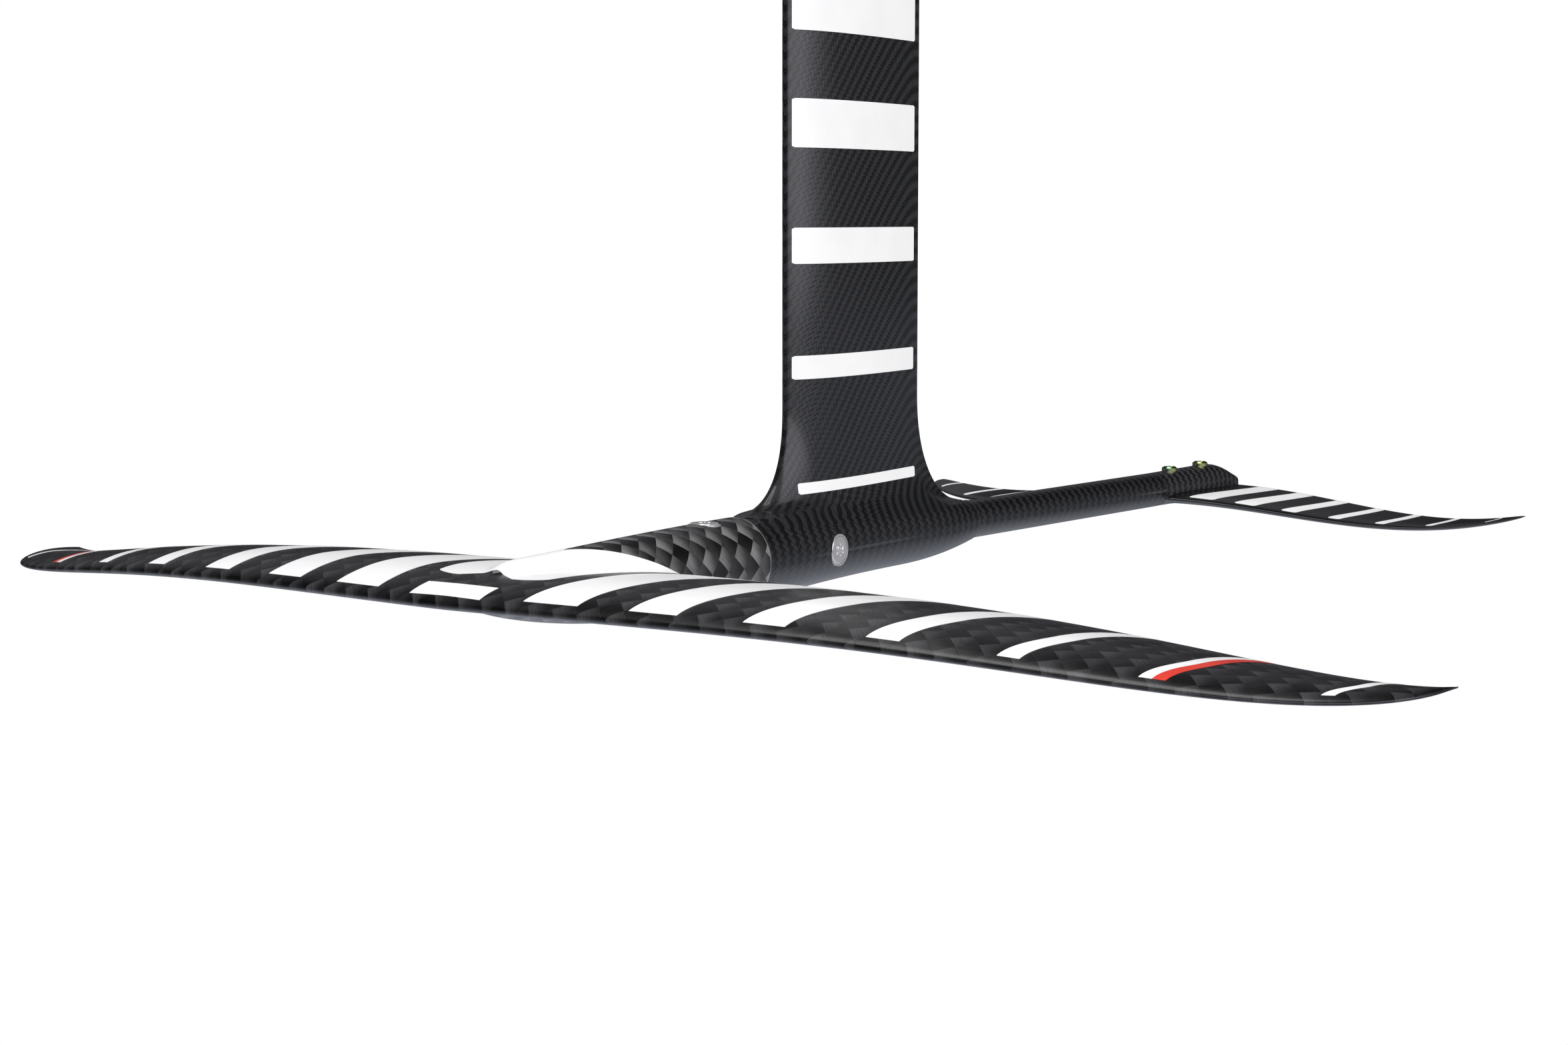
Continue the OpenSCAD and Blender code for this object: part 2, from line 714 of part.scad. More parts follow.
base_plate();
mast_collar();
mast_skin_port();
mast_skin_starboard();
mast_core();
mast_spar();
mast_foot();
side_bolt_ferrule();
side_bolt();
fuselage_head();
fuselage_tube();
tail_block();
tail_bolts();
wing_neck();
neck_sleeve();
neck_bolt_ferrule();
neck_bolt();
wing_upper_skin();
wing_lower_skin();
wing_core();
wing_spar();
stabiliser_upper_skin();
stabiliser_lower_skin();
stabiliser_core();
stabiliser_inserts();
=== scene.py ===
import logging
import math
from dataclasses import dataclass, field
from enum import Enum
from typing import Any, Callable, Optional, Sequence, Union

import bmesh
import bpy
import numpy as np
from mathutils import Matrix, Vector


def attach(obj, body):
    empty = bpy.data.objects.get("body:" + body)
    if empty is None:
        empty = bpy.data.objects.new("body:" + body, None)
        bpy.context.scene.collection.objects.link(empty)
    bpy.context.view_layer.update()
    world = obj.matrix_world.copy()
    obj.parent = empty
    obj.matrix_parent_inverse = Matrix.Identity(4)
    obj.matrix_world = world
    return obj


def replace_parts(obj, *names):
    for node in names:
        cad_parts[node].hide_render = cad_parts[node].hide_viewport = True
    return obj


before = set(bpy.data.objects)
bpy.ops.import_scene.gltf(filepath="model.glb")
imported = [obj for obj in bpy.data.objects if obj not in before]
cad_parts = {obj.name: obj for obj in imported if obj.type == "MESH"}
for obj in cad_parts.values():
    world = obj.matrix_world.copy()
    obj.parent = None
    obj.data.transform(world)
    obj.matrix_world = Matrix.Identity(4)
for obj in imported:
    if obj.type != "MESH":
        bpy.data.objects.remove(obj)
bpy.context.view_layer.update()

# Lengths below are millimetres in the row's axes. Heights are measured up from the fuselage's axis.
MM = 0.001
AXIS_HEIGHT = -850.0
BODY = "root"
LAY = "lay"
BLEND = "on_body"
BIAS = math.sqrt(0.5)

Array = np.ndarray
Socket = bpy.types.NodeSocket
Value = Union[float, Socket]
Colour = tuple[float, float, float]
Place = tuple[float, float, float]

log = logging.getLogger("hydrofoil")


# ---- Small numeric helpers --------------------------------------------------------------------


def smooth_step(value: Array) -> Array:
    """Returns an eased step from 0 to 1 as value goes from 0 to 1."""
    held = np.clip(value, 0.0, 1.0)
    return held * held * (3.0 - 2.0 * held)


def smooth_min(first: Array, second: Array, reach: Array) -> Array:
    """Joins two distance fields with a fillet.

    Args:
        first: Distance from one surface.
        second: Distance from the other.
        reach: How near each other the fields blend.

    Returns:
        The distance from the filleted union.
    """
    near = np.maximum(reach - np.abs(first - second), 0.0) / np.maximum(reach, 1e-6)
    return np.minimum(first, second) - near * near * reach / 4.0


def ellipse_gap(across: Array, up: Array, half_width: Array, half_height: Array) -> Array:
    """Estimates the distance from an ellipse about the origin.

    Args:
        across: Place along the width.
        up: Place along the height.
        half_width: The ellipse's half width.
        half_height: The ellipse's half height.

    Returns:
        The distance, less than zero inside.
    """
    off = np.maximum(np.abs(across), 1e-4)
    radius = np.sqrt((off / half_width) ** 2 + (up / half_height) ** 2)
    slope = np.sqrt((off / half_width**2) ** 2 + (up / half_height**2) ** 2)
    return (radius - 1.0) * radius / np.maximum(slope, 1e-9)


def root_between(field_at: Callable[[Array], Array], low: Array, high: Array, turns: int = 36) -> Array:
    """Finds where a field that rises from low to high passes zero.

    Args:
        field_at: The field, below zero at low.
        low: Places inside.
        high: Places outside.
        turns: How many times the interval is halved.

    Returns:
        The places where the field is zero.
    """
    inner = np.array(low, dtype=float)
    outer = np.array(high, dtype=float)
    for _ in range(turns):
        middle = (inner + outer) / 2.0
        inside = field_at(middle) < 0.0
        inner = np.where(inside, middle, inner)
        outer = np.where(inside, outer, middle)
    return (inner + outer) / 2.0


def lay_points(across: Array, along: Array, up: Array) -> Array:
    """Stacks three coordinate arrays into points."""
    return np.stack(np.broadcast_arrays(across, along, up), axis=-1).astype(float)


def thickness_curve(place: Array) -> Array:
    """Returns a closed aerofoil's half thickness, 0.5 at its widest, from its nose 0 to its tail 1."""
    return 5.0 * (
        0.2969 * np.sqrt(place)
        - 0.126 * place
        - 0.3516 * place**2
        + 0.2843 * place**3
        - 0.1036 * place**4
    )


# ---- Meshes -----------------------------------------------------------------------------------


class Shell:
    """Joins grids of points into one closed mesh with a texture map and a blend value."""

    def __init__(self) -> None:
        """Starts with nothing."""
        self.points: list[Array] = []
        self.faces: list[Array] = []
        self.lays: list[Array] = []
        self.blends: list[Array] = []
        self.count = 0

    def add(self, grid: Array, lay: Optional[Array] = None, blend: Optional[Array] = None) -> None:
        """Adds a grid of quads.

        Args:
            grid: Points, rows by columns by three.
            lay: Texture places in millimetres, rows by columns by two.
            blend: Blend values, rows by columns.
        """
        rows, columns = grid.shape[:2]
        index = np.arange(rows * columns).reshape(rows, columns) + self.count
        quads = np.stack([index[:-1, :-1], index[1:, :-1], index[1:, 1:], index[:-1, 1:]], axis=-1)
        self.points.append(grid.reshape(-1, 3))
        self.faces.append(quads.reshape(-1, 4))
        self.lays.append(np.zeros((rows * columns, 2)) if lay is None else lay.reshape(-1, 2))
        self.blends.append(np.zeros(rows * columns) if blend is None else blend.reshape(-1))
        self.count += rows * columns

    def add_both_sides(
        self, grid: Array, lay: Optional[Array] = None, blend: Optional[Array] = None
    ) -> None:
        """Adds a grid on the port side and its mirror image to starboard."""
        self.add(grid, lay, blend)
        self.add(grid * np.array([-1.0, 1.0, 1.0]), lay, blend)

    def build(self, name: str, sharp: float = 35.0) -> bpy.types.Object:
        """Makes the object: doubles merged, openings closed, faces outwards, sharp edges kept.

        Args:
            name: The piece's name.
            sharp: Edges that turn by more than this many degrees stay sharp.

        Returns:
            The new object, at the origin.
        """
        points = np.concatenate(self.points)
        faces = np.concatenate(self.faces)
        placed = (points + np.array([0.0, 0.0, AXIS_HEIGHT])) * MM
        mesh = bpy.data.meshes.new(name)
        mesh.from_pydata(placed.tolist(), [], faces.tolist())
        lays = np.concatenate(self.lays)[faces.reshape(-1)] * MM
        layer = mesh.uv_layers.new(name=LAY)
        layer.data.foreach_set("uv", lays.reshape(-1))
        blends = mesh.attributes.new(BLEND, "FLOAT", "POINT")
        blends.data.foreach_set("value", np.concatenate(self.blends))
        work = bmesh.new()
        work.from_mesh(mesh)
        bmesh.ops.remove_doubles(work, verts=work.verts[:], dist=3e-6)
        bmesh.ops.dissolve_degenerate(work, edges=work.edges[:], dist=1e-6)
        inner = [face for face in work.faces if all(abs(vertex.co.x) < 1e-7 for vertex in face.verts)]
        bmesh.ops.delete(work, geom=inner, context="FACES")
        open_edges = [edge for edge in work.edges if edge.is_boundary]
        if open_edges:
            bmesh.ops.holes_fill(work, edges=open_edges, sides=0)
        bmesh.ops.recalc_face_normals(work, faces=work.faces[:])
        if work.calc_volume(signed=True) < 0.0:
            bmesh.ops.reverse_faces(work, faces=work.faces[:])
        left_open = sum(1 for edge in work.edges if not edge.is_manifold)
        work.to_mesh(mesh)
        work.free()
        mesh.update()
        piece = bpy.data.objects.new(name, mesh)
        bpy.context.scene.collection.objects.link(piece)
        smooth_by_angle(piece, sharp)
        if left_open:
            log.warning("%s: %d edges are not closed", name, left_open)
        return piece


def smooth_by_angle(piece: bpy.types.Object, degrees: float) -> None:
    """Shades a piece smooth and keeps the edges sharp that turn by more than an angle."""
    bpy.ops.object.select_all(action="DESELECT")
    piece.select_set(True)
    bpy.context.view_layer.objects.active = piece
    bpy.ops.object.shade_smooth_by_angle(angle=math.radians(degrees))
    piece.select_set(False)


def add_slab(shell: Shell, top: Array, under: Array) -> None:
    """Adds a thin closed slab between two grids to a shell."""
    shell.add(top)
    shell.add(under)
    for edge in (0, -1):
        shell.add(np.stack([top[edge], under[edge]]))
        shell.add(np.stack([top[:, edge], under[:, edge]]))


def take_over(
    piece: bpy.types.Object,
    material: bpy.types.Material,
    nodes: Sequence[str] = (),
) -> bpy.types.Object:
    """Dresses a piece, sets it on the body and hides the CAD nodes that it stands for.

    Args:
        piece: The new piece.
        material: Its finish.
        nodes: The CAD nodes that it replaces.

    Returns:
        The same piece.
    """
    piece.data.materials.clear()
    piece.data.materials.append(material)
    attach(piece, BODY)
    if nodes:
        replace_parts(piece, *nodes)
    triangles = sum(len(face.vertices) - 2 for face in piece.data.polygons)
    log.info("%s: %d triangles, finish %s", piece.name, triangles, material.name)
    return piece


# ---- Shader nodes -----------------------------------------------------------------------------


class Graph:
    """A hand for wiring shader nodes in one tree."""

    def __init__(self, tree: bpy.types.NodeTree) -> None:
        """Takes the tree to work in."""
        self.tree = tree

    def node(self, kind: str, **settings: Any) -> bpy.types.Node:
        """Adds a node and sets its properties."""
        made = self.tree.nodes.new(kind)
        for name, value in settings.items():
            setattr(made, name, value)
        return made

    def feed(self, target: Socket, value: Any) -> None:
        """Links a socket to an input, or sets the input's own value."""
        if isinstance(value, bpy.types.NodeSocket):
            self.tree.links.new(value, target)
        else:
            target.default_value = value

    def sum(self, operation: str, first: Value, second: Value = 0.0, third: Value = 0.0) -> Socket:
        """Adds a Math node and returns its value."""
        made = self.node("ShaderNodeMath", operation=operation)
        self.feed(made.inputs[0], first)
        self.feed(made.inputs[1], second)
        self.feed(made.inputs[2], third)
        return made.outputs[0]

    def vector(self, operation: str, first: Any, second: Any = (0.0, 0.0, 0.0)) -> Socket:
        """Adds a Vector Math node and returns its vector."""
        made = self.node("ShaderNodeVectorMath", operation=operation)
        self.feed(made.inputs[0], first)
        self.feed(made.inputs[1], second)
        return made.outputs[0]

    def parts(self, vector: Socket) -> tuple[Socket, Socket, Socket]:
        """Splits a vector into its three values."""
        made = self.node("ShaderNodeSeparateXYZ")
        self.feed(made.inputs[0], vector)
        return made.outputs[0], made.outputs[1], made.outputs[2]

    def whole(self, x: Value, y: Value, z: Value = 0.0) -> Socket:
        """Joins three values into a vector."""
        made = self.node("ShaderNodeCombineXYZ")
        for target, value in zip(made.inputs, (x, y, z)):
            self.feed(target, value)
        return made.outputs[0]

    def ramp(self, value: Value, low: float, high: float, out_low: float, out_high: float) -> Socket:
        """Adds a smooth Map Range node and returns its result."""
        made = self.node("ShaderNodeMapRange", interpolation_type="SMOOTHSTEP")
        for target, number in zip(made.inputs, (value, low, high, out_low, out_high)):
            self.feed(target, number)
        return made.outputs[0]

    def noise(self, vector: Socket, scale: float, detail: float = 3.0, rough: float = 0.5) -> Socket:
        """Adds a Noise Texture node and returns its value."""
        made = self.node("ShaderNodeTexNoise", noise_dimensions="3D")
        self.feed(made.inputs["Vector"], vector)
        self.feed(made.inputs["Scale"], scale)
        self.feed(made.inputs["Detail"], detail)
        self.feed(made.inputs["Roughness"], rough)
        return made.outputs[0]

    def mix(self, share: Value, first: Any, second: Any) -> Socket:
        """Mixes two colours by a share and returns the colour."""
        made = self.node("ShaderNodeMix", data_type="RGBA", blend_type="MIX")
        self.feed(made.inputs[0], share)
        self.feed(made.inputs[6], as_colour(first))
        self.feed(made.inputs[7], as_colour(second))
        return made.outputs[2]

    def place(self) -> Socket:
        """Returns the object's own coordinates."""
        return self.node("ShaderNodeTexCoord").outputs["Object"]

    def lay(self) -> Socket:
        """Returns the piece's texture map."""
        return self.node("ShaderNodeUVMap", uv_map=LAY).outputs[0]

    def blend(self) -> Socket:
        """Returns the piece's blend value."""
        return self.node("ShaderNodeAttribute", attribute_name=BLEND).outputs["Fac"]

    def bump(self, height: Socket, distance: float, strength: float = 1.0) -> Socket:
        """Adds a Bump node and returns its normal."""
        made = self.node("ShaderNodeBump")
        self.feed(made.inputs["Strength"], strength)
        self.feed(made.inputs["Distance"], distance)
        self.feed(made.inputs["Height"], height)
        return made.outputs[0]

    def group(self, tree: bpy.types.NodeTree, **values: Any) -> bpy.types.Node:
        """Places a node group and feeds its inputs by name."""
        made = self.node("ShaderNodeGroup")
        made.node_tree = tree
        for name, value in values.items():
            self.feed(made.inputs[name], value)
        return made


def as_colour(value: Any) -> Any:
    """Returns a three-part colour with its alpha, and anything else as it is."""
    if isinstance(value, tuple) and len(value) == 3:
        return (*value, 1.0)
    return value


def new_group(name: str, inputs: dict[str, str], outputs: dict[str, str]) -> tuple[Any, Any, Any, Graph]:
    """Starts a shader node group.

    Args:
        name: The group's name.
        inputs: Socket names and kinds.
        outputs: Socket names and kinds.

    Returns:
        The tree, its input node, its output node and a Graph to work with.
    """
    tree = bpy.data.node_groups.new(name, "ShaderNodeTree")
    for socket, kind in inputs.items():
        tree.interface.new_socket(name=socket, in_out="INPUT", socket_type=kind)
    for socket, kind in outputs.items():
        tree.interface.new_socket(name=socket, in_out="OUTPUT", socket_type=kind)
    graph = Graph(tree)
    return tree, graph.node("NodeGroupInput"), graph.node("NodeGroupOutput"), graph


def new_material(name: str) -> tuple[bpy.types.Material, Graph, bpy.types.Node]:
    """Starts a material with its Principled BSDF.

    Returns:
        The material, a Graph on its tree and the shader node.
    """
    material = bpy.data.materials.new(name)
    material.use_nodes = True
    graph = Graph(material.node_tree)
    shader = material.node_tree.nodes["Principled BSDF"]
    return material, graph, shader


FLOAT = "NodeSocketFloat"
VECTOR = "NodeSocketVector"


class Effects:
    """The node groups that several finishes share."""

    def __init__(self) -> None:
        """Builds each group once."""
        self.twill = self.make_twill()
        self.spread_tow = self.make_spread_tow()
        self.wear = self.make_wear()

    def make_twill(self) -> bpy.types.NodeTree:
        """Builds the two-by-two twill, laid on the bias."""
        tree, start, end, graph = new_group(
            "Twill weave",
            {"Vector": VECTOR, "Tow": FLOAT},
            {"Warp": FLOAT, "Height": FLOAT, "Fibre": FLOAT},
        )
        along, up, _ = graph.parts(start.outputs["Vector"])
        tow = graph.sum("MULTIPLY", start.outputs["Tow"], math.sqrt(2.0))
        first = graph.sum("DIVIDE", graph.sum("ADD", along, up), tow)
        second = graph.sum("DIVIDE", graph.sum("SUBTRACT", along, up), tow)
        first_cell = graph.sum("FLOOR", first)
        second_cell = graph.sum("FLOOR", second)
        step = graph.sum("FLOORED_MODULO", graph.sum("ADD", first_cell, second_cell), 4.0)
        warp = graph.sum("LESS_THAN", step, 2.0)
        heights = []
        for place, cell in ((first, first_cell), (second, second_cell)):
            off = graph.sum("SUBTRACT", graph.sum("SUBTRACT", place, cell), 0.5)
            hollow = graph.sum("MULTIPLY", graph.sum("MULTIPLY", off, off), 4.0)
            heights.append(graph.sum("SUBTRACT", 1.0, hollow))
        over = graph.sum("MULTIPLY", heights[0], warp)
        under = graph.sum("MULTIPLY", heights[1], graph.sum("SUBTRACT", 1.0, warp))
        graph.feed(end.inputs["Warp"], warp)
        graph.feed(end.inputs["Height"], graph.sum("ADD", over, under))
        streak_one = graph.noise(graph.whole(graph.sum("MULTIPLY", first, 9.0), second), 1.0)
        streak_two = graph.noise(graph.whole(first, graph.sum("MULTIPLY", second, 9.0)), 1.0)
        fibre = graph.sum("MULTIPLY", streak_one, warp)
        other = graph.sum("MULTIPLY", streak_two, graph.sum("SUBTRACT", 1.0, warp))
        graph.feed(end.inputs["Fibre"], graph.sum("ADD", fibre, other))
        return tree

    def make_spread_tow(self) -> bpy.types.NodeTree:
        """Builds the wide flat tows that cross in a plain check, with a painted shade that darkens each
        cell from one corner to the opposite one.
        """
        tree, start, end, graph = new_group(
            "Spread tow",
            {"Vector": VECTOR, "Cell": FLOAT},
            {"Tone": FLOAT, "Slope": FLOAT, "Gap": FLOAT, "Fibre": FLOAT},
        )
        across, along, _ = graph.parts(start.outputs["Vector"])
        first = graph.sum("DIVIDE", across, start.outputs["Cell"])
        second = graph.sum("DIVIDE", along, start.outputs["Cell"])
        first_cell = graph.sum("FLOOR", first)
        second_cell = graph.sum("FLOOR", second)
        check = graph.sum("FLOORED_MODULO", graph.sum("ADD", first_cell, second_cell), 2.0)
        scatter = graph.node("ShaderNodeTexWhiteNoise", noise_dimensions="2D")
        graph.feed(scatter.inputs["Vector"], graph.whole(first_cell, second_cell))
        even = graph.sum("MULTIPLY", check, 0.62)
        chance = graph.sum("MULTIPLY", scatter.outputs[0], 0.38)
        graph.feed(end.inputs["Tone"], graph.sum("ADD", even, chance))
        # Painted shade: each cell is brightest at one corner and darkens towards the opposite corner,
        # standing in for light falling across the curved tow.
        painted_shade_place = graph.sum("ADD", graph.sum("FRACT", first), graph.sum("FRACT", second))
        graph.feed(end.inputs["Slope"], graph.ramp(painted_shade_place, 0.3, 1.7, 1.0, 0.12))
        edges = []
        for place, cell in ((first, first_cell), (second, second_cell)):
            off = graph.sum("ABSOLUTE", graph.sum("SUBTRACT", graph.sum("SUBTRACT", place, cell), 0.5))
            edges.append(graph.ramp(off, 0.47, 0.5, 0.0, 1.0))
        graph.feed(end.inputs["Gap"], graph.sum("MAXIMUM", edges[0], edges[1]))
        long_one = graph.noise(graph.whole(graph.sum("MULTIPLY", first, 26.0), second), 1.0, 4.0, 0.6)
        long_two = graph.noise(graph.whole(first, graph.sum("MULTIPLY", second, 26.0)), 1.0, 4.0, 0.6)
        fibre = graph.sum("MULTIPLY", long_one, check)
        other = graph.sum("MULTIPLY", long_two, graph.sum("SUBTRACT", 1.0, check))
        graph.feed(end.inputs["Fibre"], graph.sum("ADD", fibre, other))
        return tree

    def make_wear(self) -> bpy.types.NodeTree:
        """Builds faint scuffs and dust, for roughness."""
        tree, start, end, graph = new_group(
            "Light wear", {"Vector": VECTOR, "Scale": FLOAT}, {"Scuff": FLOAT, "Cloud": FLOAT}
        )
        noise = graph.node("ShaderNodeTexNoise", noise_dimensions="3D")
        graph.feed(noise.inputs["Vector"], start.outputs["Vector"])
        graph.feed(noise.inputs["Scale"], start.outputs["Scale"])
        graph.feed(noise.inputs["Detail"], 6.0)
        graph.feed(end.inputs["Cloud"], noise.outputs[0])
        scuffs = graph.node("ShaderNodeTexNoise", noise_dimensions="3D")
        stretched = graph.vector("MULTIPLY", start.outputs["Vector"], (9.0, 1.0, 5.0))
        graph.feed(scuffs.inputs["Vector"], stretched)
        graph.feed(scuffs.inputs["Scale"], start.outputs["Scale"])
        graph.feed(scuffs.inputs["Detail"], 8.0)
        graph.feed(scuffs.inputs["Roughness"], 0.7)
        graph.feed(end.inputs["Scuff"], graph.ramp(scuffs.outputs[0], 0.62, 0.72, 0.0, 1.0))
        return tree


# ---- Finishes ---------------------------------------------------------------------------------


@dataclass(frozen=True)
class TwillFinish:
    """Lacquered two-by-two carbon twill on the piece's own texture map."""

    name: str = "carbon_twill"
    tow: float = 1.83
    dark: Colour = (0.0006, 0.0007, 0.0009)
    light: Colour = (0.0125, 0.0130, 0.0160)
    weave_rough: float = 0.4
    relief: float = 0.16

    def make(self, effects: Effects) -> bpy.types.Material:
        """Returns the material."""
        material, graph, shader = new_material(self.name)
        weave = graph.group(effects.twill, Vector=graph.lay(), Tow=self.tow * MM)
        wear = graph.group(effects.wear, Vector=graph.place(), Scale=24.0)
        fibre = graph.ramp(weave.outputs["Fibre"], 0.3, 0.7, 0.55, 1.25)
        base = graph.mix(weave.outputs["Warp"], self.dark, self.light)
        shade = graph.node("ShaderNodeMix", data_type="RGBA", blend_type="MULTIPLY")
        graph.feed(shade.inputs[0], 1.0)
        graph.feed(shade.inputs[6], base)
        graph.feed(shade.inputs[7], fibre)
        graph.feed(shader.inputs["Base Color"], shade.outputs[2])
        rough = graph.ramp(weave.outputs["Warp"], 0.0, 1.0, self.weave_rough, self.weave_rough + 0.1)
        graph.feed(shader.inputs["Roughness"], rough)
        normal = graph.bump(weave.outputs["Height"], self.relief * MM)
        graph.feed(shader.inputs["Normal"], normal)
        graph.feed(shader.inputs["Coat Weight"], graph.ramp(wear.outputs["Cloud"], 0.2, 0.8, 0.75, 0.95))
        shader.inputs["Coat Roughness"].default_value = 0.13
        shader.inputs["Coat IOR"].default_value = 1.5
        return material


@dataclass(frozen=True)
class WingFinish:
    """Gloss black lay-up: a wide check on the wing, and diamonds round the neck, each cell darkened by a
    painted shade from corner to corner; the neck's diamonds are lightened by a painted sheen, and the rim
    at the neck's seam carries a painted highlight.
    """

    name: str = "carbon_spread_tow"
    cell: float = 8.7
    diamond: float = 8.6
    dark: Colour = (0.0012, 0.0012, 0.0016)
    light: Colour = (0.052, 0.0515, 0.058)
    # The neck's light diamond tone is the lay-up's pattern, lightened well past the wing's light tone to
    # paint in the fibres' sheen.
    neck_tone_and_sheen: Colour = (0.20, 0.196, 0.20)
    # Painted highlight: light grey laid on the neck's chamfered rim at the seam, where a thin bright line
    # of light runs.
    seam: Colour = (0.42, 0.42, 0.43)
    neck_radius: float = 20.0

    def make(self, effects: Effects) -> bpy.types.Material:
        """Returns the material."""
        material, graph, shader = new_material(self.name)
        across, along, height = graph.parts(graph.place())
        bias = graph.whole(graph.sum("ADD", across, along), graph.sum("SUBTRACT", across, along))
        flat_spot = graph.vector("MULTIPLY", bias, (math.sqrt(0.5),) * 3)
        check = graph.group(effects.spread_tow, Vector=flat_spot, Cell=self.cell * MM)
        up = graph.sum("ADD", height, -AXIS_HEIGHT * MM)
        around = graph.sum("MULTIPLY", graph.sum("ARCTAN2", up, across), self.neck_radius * MM)
        spot = graph.whole(graph.sum("ADD", along, around), graph.sum("SUBTRACT", along, around))
        turned = graph.vector("MULTIPLY", spot, (math.sqrt(0.5),) * 3)
        diamonds = graph.group(effects.spread_tow, Vector=turned, Cell=self.diamond * MM)
        on_neck = graph.ramp(graph.blend(), 0.3, 0.7, 0.0, 1.0)
        # The check's tone and the diamonds' tone are each multiplied by the painted shade across the cell.
        shaded_check = graph.sum("MULTIPLY", check.outputs["Tone"], check.outputs["Slope"])
        flat = graph.mix(shaded_check, self.dark, self.light)
        scale = graph.sum("MULTIPLY", diamonds.outputs["Tone"], diamonds.outputs["Slope"])
        # The neck's diamonds run from dark to the pattern tone with its painted sheen.
        shaded_diamonds = graph.mix(scale, self.dark, self.neck_tone_and_sheen)
        base = graph.mix(on_neck, flat, shaded_diamonds)
        # Painted highlight: the neck's chamfered front rim, from about y = -100.65 mm forward, turns light
        # grey.
        base = graph.mix(graph.ramp(along, -0.10065, -0.1004, 0.0, 1.0), base, self.seam)
        strands = graph.node("ShaderNodeMix", data_type="FLOAT")
        graph.feed(strands.inputs[0], on_neck)
        graph.feed(strands.inputs[2], check.outputs["Fibre"])
        graph.feed(strands.inputs[3], diamonds.outputs["Fibre"])
        fibre = graph.ramp(strands.outputs[0], 0.3, 0.7, 0.6, 1.3)
        shade = graph.node("ShaderNodeMix", data_type="RGBA", blend_type="MULTIPLY")
        graph.feed(shade.inputs[0], 1.0)
        graph.feed(shade.inputs[6], base)
        graph.feed(shade.inputs[7], fibre)
        graph.feed(shader.inputs["Base Color"], shade.outputs[2])
        graph.feed(shader.inputs["Roughness"], graph.ramp(fibre, 0.6, 1.3, 0.42, 0.3))
        gap = graph.node("ShaderNodeMix", data_type="FLOAT")
        graph.feed(gap.inputs[0], on_neck)
        graph.feed(gap.inputs[2], check.outputs["Gap"])
        graph.feed(gap.inputs[3], diamonds.outputs["Gap"])
        graph.feed(shader.inputs["Normal"], graph.bump(gap.outputs[0], -0.05 * MM, 0.6))
        wear = graph.group(effects.wear, Vector=graph.place(), Scale=14.0)
        graph.feed(shader.inputs["Coat Weight"], graph.ramp(wear.outputs["Cloud"], 0.2, 0.8, 0.4, 0.55))
        shader.inputs["Coat Roughness"].default_value = 0.2
        return material


@dataclass(frozen=True)
class StabiliserFinish:
    """Gloss black lacquer, with the fuselage's twill carried on over its tail."""

    name: str = "carbon_gloss"
    tow: float = 1.83
    black: Colour = (0.0016, 0.0016, 0.0019)
    light: Colour = (0.030, 0.031, 0.035)

    def make(self, effects: Effects) -> bpy.types.Material:
        """Returns the material."""
        material, graph, shader = new_material(self.name)
        weave = graph.group(effects.twill, Vector=graph.lay(), Tow=self.tow * MM)
        on_tail = graph.ramp(graph.blend(), 0.4, 0.6, 0.0, 1.0)
        wear = graph.group(effects.wear, Vector=graph.place(), Scale=18.0)
        cloud = graph.mix(wear.outputs["Cloud"], self.black, (0.0028, 0.0028, 0.0031))
        tone = graph.mix(weave.outputs["Warp"], (0.0008, 0.0009, 0.0011), self.light)
        graph.feed(shader.inputs["Base Color"], graph.mix(on_tail, cloud, tone))
        graph.feed(shader.inputs["Roughness"], graph.ramp(on_tail, 0.0, 1.0, 0.24, 0.45))
        height = graph.sum("MULTIPLY", weave.outputs["Height"], on_tail)
        graph.feed(shader.inputs["Normal"], graph.bump(height, 0.10 * MM))
        graph.feed(shader.inputs["Coat Weight"], graph.ramp(wear.outputs["Cloud"], 0.2, 0.8, 0.5, 0.65))
        shader.inputs["Coat Roughness"].default_value = 0.06
        return material


@dataclass(frozen=True)
class PaintFinish:
    """Smooth paint under the lacquer, with a faint orange peel."""

    name: str
    colour: Colour
    deeper: Colour

    def make(self, effects: Effects) -> bpy.types.Material:
        """Returns the material."""
        material, graph, shader = new_material(self.name)
        wear = graph.group(effects.wear, Vector=graph.place(), Scale=40.0)
        share = graph.ramp(wear.outputs["Cloud"], 0.35, 0.65, 0.0, 1.0)
        graph.feed(shader.inputs["Base Color"], graph.mix(share, self.colour, self.deeper))
        graph.feed(shader.inputs["Roughness"], graph.ramp(wear.outputs["Scuff"], 0.0, 1.0, 0.38, 0.5))
        peel = graph.noise(graph.place(), 900.0, 2.0)
        graph.feed(shader.inputs["Normal"], graph.bump(peel, 0.01 * MM, 0.5))
        shader.inputs["Coat Weight"].default_value = 0.35
        shader.inputs["Coat Roughness"].default_value = 0.12
        return material


@dataclass(frozen=True)
class MetalFinish:
    """Turned or cast metal, with fine marks and a tint that drifts over it."""

    name: str
    colour: Colour
    tint: Colour
    rough: float = 0.22
    grain: float = 700.0
    metallic: float = 1.0

    def make(self, effects: Effects) -> bpy.types.Material:
        """Returns the material."""
        material, graph, shader = new_material(self.name)
        wear = graph.group(effects.wear, Vector=graph.place(), Scale=260.0)
        share = graph.ramp(wear.outputs["Cloud"], 0.35, 0.65, 0.0, 1.0)
        graph.feed(shader.inputs["Base Color"], graph.mix(share, self.colour, self.tint))
        rough = graph.ramp(wear.outputs["Scuff"], 0.0, 1.0, self.rough, self.rough + 0.15)
        graph.feed(shader.inputs["Roughness"], rough)
        shader.inputs["Metallic"].default_value = self.metallic
        marks = graph.noise(graph.place(), self.grain, 3.0)
        graph.feed(shader.inputs["Normal"], graph.bump(marks, 0.008 * MM, 0.2))
        return material


